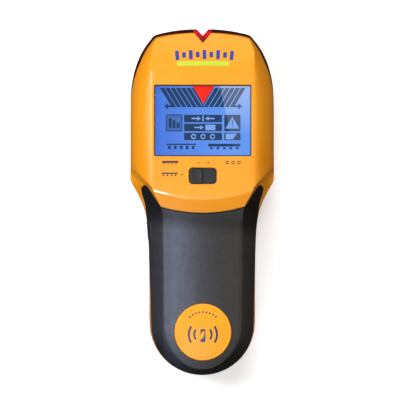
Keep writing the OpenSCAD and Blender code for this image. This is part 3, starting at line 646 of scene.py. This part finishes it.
PT = 0.035
blue = []
n = 9
for k in range(n):
    u = (k + 0.5) / n * 2 - 1
    x = X(204.2) + u * 16.2
    y = Y(57.6) - 0.6 * u * u + 1.1
    hgt = (2.5, 1.5)[k % 2]
    tilt = -0.11 * u
    q = []
    for a, b in rounded(2.0, 2 * hgt, 0.45, 3):
        q.append((x + a * math.cos(tilt) - b * math.sin(tilt), y + a * math.sin(tilt) + b * math.cos(tilt)))
    blue.append(q)
arc_bar = []
for k in range(25):
    u = k / 24 * 2 - 1
    arc_bar.append((X(204.2) + u * 17.4, Y(57.6) - 3.15 - 0.95 * u * u))
for k in range(24, -1, -1):
    u = k / 24 * 2 - 1
    arc_bar.append((X(204.2) + u * 17.4, Y(57.6) - 2.6 - 0.95 * u * u))
lime = rounded(X(228.8) - X(176.7), Y(62.3) - Y(66.8), 1.1, 6, (X(228.8) + X(176.7)) / 2, (Y(62.3) + Y(66.8)) / 2)


def surf(x, y):
    return float(front_z(x, y)) - 0.01


print_blue = marks("print_stud_row", blue, surf, PT)
print_lime = marks("print_lime_band", [lime], surf, PT)
ink = [disc(X(198.4), Y(162.9), 0.42), disc(X(207.9), Y(162.9), 0.42), disc(X(182.0), Y(174.5), 0.42)]
# mode marks: thin wall, thick wall, metal
for x0, yc, kind in ((162, 162.7, 2), (224.5, 162.7, 3), (161.5, 174.4, 1)):
    xa, yy = X(x0), Y(yc)
    if kind == 3:
        for k in range(3):
            ink.append(ring(xa + 1.2 + 3.1 * k, yy, 0.5, 0.95, 16))
    else:
        ink.append(rect(xa, yy + 0.2 + (0 if kind == 1 else -0.4), xa + 8.6, yy + 0.95))
        for k in range(4):
            ink.append(rect(xa + 0.7 + 2.1 * k, yy - 0.95, xa + 1.6 + 2.1 * k, yy - (0.1 if kind == 1 else 0.5)))
print_ink = marks("print_mode_marks", ink, surf, PT)


def badge_z(x, y):
    t = 1 - math.hypot(x, y - BYC) / (BR - 1.3)
    return PZ - 0.72 + 0.9 * (1 - (1 - t) ** 2) - 0.012


def fine(p, step=0.5):
    out = []
    for i in range(len(p)):
        a, b = np.array(p[i]), np.array(p[(i + 1) % len(p)])
        m = max(1, int(np.linalg.norm(b - a) / step))
        out += [tuple(a + (b - a) * k / m) for k in range(m)]
    return out


bl = [fine(rect(-1.3, BYC - 5.2, 1.3, BYC + 1.6))]
bl += [ring(0, BYC - 1.2, 4.0, 5.1, 14, 35, -35), ring(0, BYC - 1.2, 4.0, 5.1, 14, 145, 215)]
bl += [ring(0, BYC - 1.2, 6.9, 8.0, 18, 35, -35), ring(0, BYC - 1.2, 6.9, 8.0, 18, 145, 215)]
bt = [disc(0.0 + 10.6 * math.cos(math.radians(a)), BYC + 10.6 * math.sin(math.radians(a)), 0.5, 10) for a in range(50, 131, 10)]
print_badge = marks("print_badge_waves", bl, badge_z, PT)
print_badge2 = marks("print_badge_ticks", bt, badge_z, PT)

# ---------------------------------------------------------------- materials
def srgb(r, g, b):
    f = lambda c: (c / 255 / 12.92) if c / 255 <= 0.04045 else ((c / 255 + 0.055) / 1.055) ** 2.4
    return (f(r), f(g), f(b), 1.0)


class Mat:
    def __init__(self, name):
        self.m = bpy.data.materials.new(name)
        self.m.use_nodes = True
        self.t = self.m.node_tree
        self.p = self.t.nodes["Principled BSDF"]
        self.c = self.t.nodes.new("ShaderNodeTexCoord").outputs["Object"]

    def node(self, kind, **kw):
        n = self.t.nodes.new(kind)
        for k, v in kw.items():
            if k in n.inputs.keys() if hasattr(n.inputs, "keys") else False:
                n.inputs[k].default_value = v
            else:
                setattr(n, k, v)
        return n

    def link(self, a, b):
        self.t.links.new(a, b)

    def noise(self, scale, detail=2.0, rough=0.5, stretch=None):
        n = self.t.nodes.new("ShaderNodeTexNoise")
        n.inputs["Scale"].default_value = scale
        n.inputs["Detail"].default_value = detail
        n.inputs["Roughness"].default_value = rough
        if stretch:
            mp = self.t.nodes.new("ShaderNodeMapping")
            mp.inputs["Scale"].default_value = stretch
            self.link(self.c, mp.inputs["Vector"])
            self.link(mp.outputs["Vector"], n.inputs["Vector"])
        else:
            self.link(self.c, n.inputs["Vector"])
        return n.outputs["Fac"]

    def ramp(self, fac, a, b, lo=0.3, hi=0.7):
        r = self.t.nodes.new("ShaderNodeValToRGB")
        r.color_ramp.elements[0].position, r.color_ramp.elements[1].position = lo, hi
        r.color_ramp.elements[0].color, r.color_ramp.elements[1].color = a, b
        self.link(fac, r.inputs["Fac"])
        return r.outputs["Color"]

    def mix(self, fac, a, b, mode="MIX"):
        n = self.t.nodes.new("ShaderNodeMix")
        n.data_type, n.blend_type = "RGBA", mode
        for s, v in ((n.inputs[0], fac), (n.inputs[6], a), (n.inputs[7], b)):
            if isinstance(v, bpy.types.NodeSocket):
                self.link(v, s)
            else:
                s.default_value = v
        return n.outputs[2]

    def value(self, fac, lo, hi):
        n = self.t.nodes.new("ShaderNodeMapRange")
        n.inputs["From Min"].default_value, n.inputs["From Max"].default_value = 0.25, 0.75
        n.inputs["To Min"].default_value, n.inputs["To Max"].default_value = lo, hi
        self.link(fac, n.inputs["Value"])
        return n.outputs["Result"]

    def bump(self, fac, height, strength=1.0, prev=None):
        n = self.t.nodes.new("ShaderNodeBump")
        n.inputs["Distance"].default_value, n.inputs["Strength"].default_value = height, strength
        self.link(fac, n.inputs["Height"])
        if prev is not None:
            self.link(prev, n.inputs["Normal"])
        return n.outputs["Normal"]

    def set(self, **kw):
        names = {"rough": "Roughness", "metal": "Metallic", "coat": "Coat Weight", "coat_rough": "Coat Roughness", "spec": "Specular IOR Level",
                 "sheen": "Sheen Weight", "sss": "Subsurface Weight", "trans": "Transmission Weight", "ior": "IOR", "alpha": "Alpha",
                 "color": "Base Color", "normal": "Normal", "emit": "Emission Color", "emit_k": "Emission Strength", "sheen_rough": "Sheen Roughness"}
        for k, v in kw.items():
            s = self.p.inputs[names[k]]
            if isinstance(v, bpy.types.NodeSocket):
                self.link(v, s)
            else:
                s.default_value = v
        return self


def plastic(name, rgb, rgb2=None, rough=(0.25, 0.35), grain=(3000, 0.00001), blotch=60, coat=0.0, metal=0.0, spec=0.5):
    m = Mat(name)
    rgb2 = rgb2 or tuple(int(c * 0.92) for c in rgb)
    n1 = m.noise(blotch, 4, 0.6)
    m.set(color=m.ramp(n1, srgb(*rgb2), srgb(*rgb)), rough=m.value(m.noise(blotch * 4, 5, 0.65), *rough), coat=coat, metal=metal, spec=spec,
          normal=m.bump(m.noise(grain[0], 3, 0.6), grain[1]))
    return m


yellow = plastic("yellow_abs", (252, 163, 30), (247, 153, 20), (0.28, 0.38), (1100, 0.000012), 30, coat=0.3, spec=0.35)
yellow.set(coat_rough=0.07)
badge_m = plastic("badge_plastic", (252, 168, 34), (247, 156, 24), (0.34, 0.44), (700, 0.000008), 40, coat=0.0, spec=0.22)
rubber = Mat("grip_rubber")
g1 = rubber.noise(5200, 2, 0.5)
g2 = rubber.noise(1500, 4, 0.6)
# painted light on the grip: a cool painted sheen left of centre on the palm side, fading to the right and stopping at
# the creases, and painted shade under the arch and at the heel
rs = rubber.t.nodes.new("ShaderNodeSeparateXYZ")
rubber.link(rubber.c, rs.inputs[0])


def stops(m, fac, lo, hi, table):
    n = m.t.nodes.new("ShaderNodeMapRange")
    n.inputs["From Min"].default_value, n.inputs["From Max"].default_value = lo, hi
    m.link(fac, n.inputs["Value"])
    r = m.t.nodes.new("ShaderNodeValToRGB")
    while len(r.color_ramp.elements) < len(table):
        r.color_ramp.elements.new(0.5)
    for e, (p, c) in zip(r.color_ramp.elements, table):
        e.position = (p - lo) / (hi - lo)
        e.color = srgb(*c)
    m.link(n.outputs["Result"], r.inputs["Fac"])
    return r.outputs["Color"]


# painted sheen: lighter and bluer left of centre, darker to the right
painted_sheen_across = stops(rubber, rs.outputs["X"], -0.030, 0.030, [(-0.030, (56, 56, 62)), (-0.0215, (58, 58, 66)), (-0.0196, (80, 84, 98)), (-0.0150, (89, 96, 116)), (-0.0110, (85, 90, 107)),
                (-0.0065, (74, 77, 90)), (-0.0015, (62, 62, 70)), (0.004, (53, 53, 57)), (0.010, (48, 48, 47)), (0.0195, (53, 49, 44)), (0.0215, (58, 55, 53)), (0.030, (58, 56, 54))])
bow = rubber.t.nodes.new("ShaderNodeMath")
bow.operation = "MULTIPLY_ADD"
rubber.link(rs.outputs["X"], bow.inputs[0])
bow.inputs[1].default_value = 0.10
rubber.link(rs.outputs["Y"], bow.inputs[2])
# painted shade: darker under the arch and at the heel, following the arch
along = stops(rubber, bow.outputs[0], -0.095, 0.0, [(-0.095, (150, 150, 150)), (-0.082, (176, 176, 176)), (-0.070, (255, 255, 255)), (-0.0165, (255, 255, 255)), (-0.0100, (158, 158, 156)), (0.0, (140, 138, 138))])
painted_light_tone = rubber.mix(1.0, painted_sheen_across, along, "MULTIPLY")
mottle = rubber.ramp(rubber.noise(260, 5, 0.7), srgb(222, 222, 222), srgb(255, 255, 255))
rubber.set(color=rubber.mix(1.0, painted_light_tone, mottle, "MULTIPLY"), rough=rubber.value(g2, 0.42, 0.54),
           spec=0.25, normal=rubber.bump(g1, 0.00003, 0.7, rubber.bump(g2, 0.00003, 0.5)))
lens_m = plastic("lens_red", (74, 14, 16), (50, 8, 11), (0.25, 0.35), (900, 0.000004), 60, spec=0.02)
lens_b = plastic("lens_marker", (196, 24, 30), (172, 17, 23), (0.2, 0.3), (900, 0.000004), 60, spec=0.05)
lens_sep = lens_b.t.nodes.new("ShaderNodeSeparateXYZ")
lens_b.link(lens_b.c, lens_sep.inputs[0])
slate = plastic("slate_plastic", (34, 35, 41), (29, 30, 35), (0.4, 0.52), (2600, 0.00001), 120, spec=0.3)
black_p = plastic("black_plastic", (24, 24, 26), (18, 18, 20), (0.35, 0.5), (2600, 0.00001), 120)
blue_ink = plastic("ink_blue", (28, 60, 150), (24, 52, 138), (0.35, 0.45), (2400, 0.000004), 300)
lime_ink = plastic("ink_lime", (198, 218, 40), (188, 208, 34), (0.35, 0.45), (2400, 0.000004), 300)
dark_ink = plastic("ink_dark", (52, 38, 26), (44, 32, 22), (0.4, 0.5), (2400, 0.000004), 300)
navy_ink = plastic("ink_navy", (26, 36, 84), (22, 30, 74), (0.35, 0.45), (2400, 0.000004), 300)
white_p = plastic("white_plastic", (224, 223, 216), (214, 213, 205), (0.4, 0.5), (2000, 0.00001), 100)
foam = plastic("black_foam", (20, 20, 21), (14, 14, 15), (0.85, 0.95), (4000, 0.00006), 200)
steel = plastic("bright_steel", (206, 206, 206), (190, 190, 190), (0.18, 0.3), (3000, 0.000005), 150, metal=1.0)
zinc = plastic("screw_steel", (170, 170, 168), (150, 150, 148), (0.3, 0.45), (2500, 0.00001), 250, metal=1.0)
gold = plastic("gold_contact", (226, 184, 96), (214, 170, 84), (0.2, 0.3), (3000, 0.000005), 150, metal=1.0)
copper = plastic("copper", (206, 126, 76), (190, 112, 64), (0.25, 0.4), (2500, 0.00001), 150, metal=1.0)
board = plastic("circuit_board", (16, 86, 44), (12, 72, 36), (0.3, 0.45), (1800, 0.00002), 180, coat=0.2)
zebra = plastic("zebra_rubber", (214, 140, 150), (196, 120, 132), (0.6, 0.75), (2600, 0.00002), 260)
guide = plastic("light_guide", (226, 236, 250), (214, 226, 244), (0.4, 0.5), (1500, 0.00001), 120)
sleeve = plastic("capacitor_sleeve", (44, 50, 84), (36, 42, 74), (0.25, 0.35), (1800, 0.00001), 160)
batt = plastic("battery_sleeve", (40, 40, 43), (30, 30, 33), (0.25, 0.4), (1500, 0.00001), 90, metal=0.4)
red_w = plastic("wire_red", (190, 22, 24), (170, 18, 20), (0.35, 0.45), (2000, 0.00001), 160)
black_w = plastic("wire_black", (22, 22, 23), (16, 16, 17), (0.35, 0.45), (2000, 0.00001), 160)
led = plastic("led_red", (216, 24, 28), (198, 18, 22), (0.1, 0.2), (1200, 0.000005), 100, coat=1.0)
soft_black = plastic("black_rubber", (30, 30, 32), (24, 24, 26), (0.5, 0.62), (3200, 0.00002), 130)

# display: cool backlight, brighter towards the right, with a painted glare to the right of a slanting line, strongest
# towards the top
lcd = Mat("lcd_glass")
sep = lcd.t.nodes.new("ShaderNodeSeparateXYZ")
lcd.link(lcd.c, sep.inputs[0])


def lerp_axis(m, sock, lo, hi):
    n = m.t.nodes.new("ShaderNodeMapRange")
    n.inputs["From Min"].default_value, n.inputs["From Max"].default_value = lo, hi
    m.link(sock, n.inputs["Value"])
    return n.outputs["Result"]


# the V facet of the notch is darker towards its tip: painted shade
lens_b.set(color=lens_b.mix(lerp_axis(lens_b, lens_sep.outputs["Y"], 0.0850, 0.0892), srgb(92, 16, 18), lens_b.ramp(lens_b.noise(60, 4), srgb(206, 24, 38), srgb(222, 32, 44))))
base = lcd.ramp(lerp_axis(lcd, sep.outputs["X"], -0.026, 0.012), srgb(36, 108, 226), srgb(92, 154, 248), 0, 1)
# painted glare: a pale patch right of a slanting line, growing towards the top
slant = lcd.t.nodes.new("ShaderNodeMath")
slant.operation = "MULTIPLY_ADD"
lcd.link(sep.outputs["Y"], slant.inputs[0])
slant.inputs[1].default_value = 0.22
lcd.link(sep.outputs["X"], slant.inputs[2])
edge_f = lerp_axis(lcd, slant.outputs[0], 0.0222, 0.0228)
up_f = lerp_axis(lcd, sep.outputs["Y"], 0.034, 0.060)
painted_glare_mask = lcd.t.nodes.new("ShaderNodeMath")
painted_glare_mask.operation = "MULTIPLY"
lcd.link(edge_f, painted_glare_mask.inputs[0])
lcd.link(up_f, painted_glare_mask.inputs[1])
backlight_with_glare = lcd.mix(painted_glare_mask.outputs[0], base, srgb(176, 200, 252))
cloud = lcd.mix(0.06, backlight_with_glare, lcd.ramp(lcd.noise(90, 3), srgb(40, 90, 200), srgb(150, 190, 255)))
lcd.set(color=(0.01, 0.02, 0.05, 1), rough=0.35, emit=cloud, emit_k=0.92)
seg_m = plastic("lcd_segment", (24, 46, 82), (20, 42, 76), (0.5, 0.6), (3000, 0.000002), 200, spec=0.1)
# dark segments glow faintly, and carry the same painted glare as the display
ssep = seg_m.t.nodes.new("ShaderNodeSeparateXYZ")
seg_m.link(seg_m.c, ssep.inputs[0])
sline = seg_m.t.nodes.new("ShaderNodeMath")
sline.operation = "MULTIPLY_ADD"
seg_m.link(ssep.outputs["Y"], sline.inputs[0])
sline.inputs[1].default_value = 0.22
seg_m.link(ssep.outputs["X"], sline.inputs[2])
segment_glare_mask = seg_m.t.nodes.new("ShaderNodeMath")
segment_glare_mask.operation = "MULTIPLY"
seg_m.link(lerp_axis(seg_m, sline.outputs[0], 0.0222, 0.0228), segment_glare_mask.inputs[0])
seg_m.link(lerp_axis(seg_m, ssep.outputs["Y"], 0.022, 0.056), segment_glare_mask.inputs[1])
seg_m.set(emit=seg_m.mix(segment_glare_mask.outputs[0], srgb(16, 44, 66), srgb(104, 116, 134)), emit_k=0.8)
seg_c = Mat("lcd_segment_clear")
seg_c.set(color=(0.01, 0.02, 0.05, 1), rough=0.4, emit=seg_c.ramp(seg_c.noise(80, 3), srgb(120, 165, 246), srgb(142, 184, 252)), emit_k=0.9)
pointer = Mat("pointer_red")
pointer.set(color=pointer.ramp(pointer.noise(200, 3), srgb(214, 20, 8), srgb(236, 32, 12)), rough=pointer.value(pointer.noise(400), 0.5, 0.6), spec=0.1, emit=srgb(214, 22, 4), emit_k=0.75)
seg_h = Mat("lcd_signal_field")
seg_h.set(color=(0.01, 0.02, 0.05, 1), rough=0.5, spec=0.1, emit=seg_h.ramp(seg_h.noise(80, 3), srgb(60, 108, 190), srgb(70, 120, 202)), emit_k=0.85)

# clear pane: mostly see-through, with a clean surface reflection
pane = Mat("window_clear")
out = pane.t.nodes["Material Output"]
tr = pane.t.nodes.new("ShaderNodeBsdfTransparent")
tr.inputs[0].default_value = (0.93, 0.95, 0.98, 1)
gl = pane.t.nodes.new("ShaderNodeBsdfGlossy")
pane.link(pane.value(pane.noise(300, 4), 0.03, 0.08), gl.inputs["Roughness"])
fr = pane.t.nodes.new("ShaderNodeFresnel")
fr.inputs[0].default_value = 1.45
ms = pane.t.nodes.new("ShaderNodeMixShader")
side_of = pane.t.nodes.new("ShaderNodeNewGeometry")
front_only = pane.t.nodes.new("ShaderNodeMath")
front_only.operation = "SUBTRACT"
front_only.inputs[0].default_value = 1.0
pane.link(side_of.outputs["Backfacing"], front_only.inputs[1])
pane_fac = pane.t.nodes.new("ShaderNodeMath")
pane_fac.operation = "MULTIPLY"
pane.link(fr.outputs[0], pane_fac.inputs[0])
pane.link(front_only.outputs[0], pane_fac.inputs[1])
pane.link(pane_fac.outputs[0], ms.inputs[0])
pane.link(tr.outputs[0], ms.inputs[1])
pane.link(gl.outputs[0], ms.inputs[2])
pane.link(ms.outputs[0], out.inputs["Surface"])


def dress(o, m, body="casing", replaces=None):
    o.data.materials.clear()
    o.data.materials.append(m.m)
    to_metres(o)
    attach(o, body)
    if replaces:
        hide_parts(replaces)
    return o


for o in (full, inner, seat):
    drop(o)
dress(front, yellow, replaces="front_housing")
dress(rear, yellow, replaces="rear_housing")
dress(grip, rubber, replaces="handle_grip")
dress(lens, lens_m, replaces="nose_lens")
lens.data.materials.append(lens_b.m)
for p in lens.data.polygons:
    c = p.center / MM
    if abs(c.x) < 4.8 and c.y > 84 and abs(c.x) < (c.y - 83.6) and (p.normal.z > 0.12 or c.y > 88.3):
        p.material_index = 1
dress(button, soft_black, body="power_key", replaces="power_button")
dress(badge, badge_m, replaces="badge")
dress(knob, slate, body="mode_knob", replaces="mode_slider")
# the right part of the cap top, round the slot, is black plastic: painted shade for the cap's shaded right side
knob.data.materials.append(black_p.m)
for p in knob.data.polygons:
    c = p.center / MM
    if c.x > KX + 0.75 and c.x < KX + 3.3 and c.z > PZ - 1.29:
        p.material_index = 1
dress(window, pane, replaces="display_window")
for o, m, s in ((seg_dark, seg_m, "lcd_glass"), (seg_light, seg_c, "lcd_glass"), (seg_over, seg_m, "lcd_glass"), (seg_haze, seg_h, "lcd_glass"), (tri, pointer, "led_red"),
                (print_blue, blue_ink, "yellow_abs"), (print_lime, lime_ink, "yellow_abs"), (print_ink, dark_ink, "yellow_abs"),
                (print_badge, navy_ink, "badge_plastic"), (print_badge2, navy_ink, "badge_plastic")):
    dress(o, m)

cad = {"window_gasket": (foam, 0.08), "lcd_panel": (lcd, 0.0), "lcd_backlight": (guide, 0.15), "lcd_holder": (white_p, 0.2), "zebra_strips": (zebra, 0.15),
       "main_board": (board, 0.1), "sensor_board": (board, 0.1), "sensor_plates": (copper, 0.03), "metal_coil": (copper, 0.15), "board_header": (black_p, 0.15),
       "header_pins": (gold, 0.06), "mode_switch_body": (steel, 0.15), "mode_switch_lever": (white_p, 0.12), 
       "tact_switch": (black_p, 0.15), "tact_plunger": (white_p, 0.12), "buzzer": (black_p, 0.25), "pointer_leds": (led, 0.1),
       "microcontroller": (black_p, 0.06), "sensor_chip": (black_p, 0.06), "filter_capacitors": (sleeve, 0.12), "battery_case": (batt, 0.3),
       "battery_terminals": (steel, 0.12), "snap_holder": (black_p, 0.25), "snap_contacts": (steel, 0.12), "lead_red": (red_w, 0.0),
       "lead_black": (black_w, 0.0), "battery_door": (yellow, 0.22), "door_pad": (foam, 0.1), "housing_screws": (zinc, 0.12), "board_screws": (zinc, 0.1)}
for name, (m, w) in cad.items():
    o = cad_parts[name]
    o.data.materials.clear()
    o.data.materials.append(m.m)
    if w:
        b = o.modifiers.new("edge", "BEVEL")
        b.width, b.segments, b.limit_method, b.angle_limit = w * MM, 2, "ANGLE", math.radians(38)
        b.harden_normals = False

# ---------------------------------------------------------------- stage, light and camera
scene = bpy.context.scene
scene.view_settings.view_transform = "Standard"
world = bpy.data.worlds.new("studio")
scene.world = world
world.use_nodes = True
wt = world.node_tree
wc = wt.nodes.new("ShaderNodeTexCoord")
wx = wt.nodes.new("ShaderNodeSeparateXYZ")
wt.links.new(wc.outputs["Generated"], wx.inputs[0])
wr = wt.nodes.new("ShaderNodeValToRGB")
wr.color_ramp.elements[0].position, wr.color_ramp.elements[1].position = 0.25, 0.9
wr.color_ramp.elements[0].color, wr.color_ramp.elements[1].color = (0.12, 0.12, 0.13, 1), (0.98, 0.99, 1.0, 1)
wt.links.new(wx.outputs["Z"], wr.inputs[0])
wt.links.new(wr.outputs[0], wt.nodes["Background"].inputs[0])
world.node_tree.nodes["Background"].inputs[1].default_value = 0.35
# past the floor's edge the camera sees a pale backdrop; the light it gives stays as it is
seen = wt.nodes.new("ShaderNodeLightPath")
pale = wt.nodes.new("ShaderNodeBackground")
pale.inputs[0].default_value = (1, 1, 1, 1)
pale.inputs[1].default_value = 1.0
pick = wt.nodes.new("ShaderNodeMixShader")
surface = wt.nodes["World Output"].inputs["Surface"]
lit = surface.links[0].from_socket
wt.links.new(seen.outputs["Is Camera Ray"], pick.inputs[0])
wt.links.new(lit, pick.inputs[1])
wt.links.new(pale.outputs[0], pick.inputs[2])
wt.links.new(pick.outputs[0], surface)

bm = bmesh.new()
bmesh.ops.create_grid(bm, x_segments=1, y_segments=1, size=3)
me = bpy.data.meshes.new("floor")
bm.to_mesh(me)
bm.free()
floor = bpy.data.objects.new("floor", me)
bpy.context.collection.objects.link(floor)
fm = Mat("floor")
fm.set(color=fm.ramp(fm.noise(3, 2), srgb(240, 240, 241), srgb(245, 245, 246)), rough=0.9, spec=0.0, emit=(1, 1, 1, 1), emit_k=0.42)
# seen from below the floor is clear, so the back of the tool can be looked at
under = fm.t.nodes.new("ShaderNodeNewGeometry")
clear = fm.t.nodes.new("ShaderNodeBsdfTransparent")
both = fm.t.nodes.new("ShaderNodeMixShader")
fm.link(under.outputs["Backfacing"], both.inputs[0])
fm.link(fm.p.outputs[0], both.inputs[1])
fm.link(clear.outputs[0], both.inputs[2])
fm.link(both.outputs[0], fm.t.nodes["Material Output"].inputs["Surface"])
floor.data.materials.append(fm.m)
floor.visible_glossy = False
floor.visible_diffuse = False


def area(name, loc, size, power, target=(0, 0, 0.015), color=(1, 1, 1), size_y=None):
    l = bpy.data.lights.new(name, "AREA")
    l.shape = "RECTANGLE"
    l.size, l.size_y = size, size_y or size
    l.energy, l.color = power, color
    o = bpy.data.objects.new(name, l)
    o.location = loc
    o.rotation_euler = (Vector(target) - Vector(loc)).to_track_quat("-Z", "Y").to_euler()
    bpy.context.collection.objects.link(o)
    return o


area("key", (-0.95, 0.35, 1.05), 0.55, 15.5, color=(0.96, 0.98, 1.0))
area("top", (0.1, 1.15, 0.95), 0.7, 12.0)
area("fill", (1.1, -0.3, 0.8), 0.5, 3.6, color=(1.0, 0.9, 0.78))
area("rim", (-0.4, -1.1, 0.6), 0.4, 3.0, color=(0.95, 0.97, 1.0))

# softboxes that only show as reflections: a broad cool one over the left, and a narrow strip for the crease
sheen = area("sheen", (-0.62, -0.15, 1.45), 0.55, 2.5, color=(0.9, 0.94, 1.0))
sheen.visible_diffuse = False
strip = area("strip", (-1.3, 0.1, 0.62), 0.12, 1.4, color=(1.0, 1.0, 1.0), size_y=0.9)
strip.visible_diffuse = False
glint = area("glint", (-0.152, -0.46, 1.35), 0.045, 7.5, target=(-0.022, 0.005, 0.033), size_y=0.5)
glint.visible_diffuse = False

cam = bpy.data.cameras.new("camera")
cam.sensor_width = 36
D, tilt = 2.0, math.radians(1.15)
cam.lens = 36 * D / 0.2149
co = bpy.data.objects.new("camera", cam)
co.location = (-math.sin(tilt) * D - 0.0001, 0.0, 0.015 + math.cos(tilt) * D)
co.rotation_euler = (0, -tilt, 0)
cam.clip_end = 20
bpy.context.collection.objects.link(co)
scene.camera = co
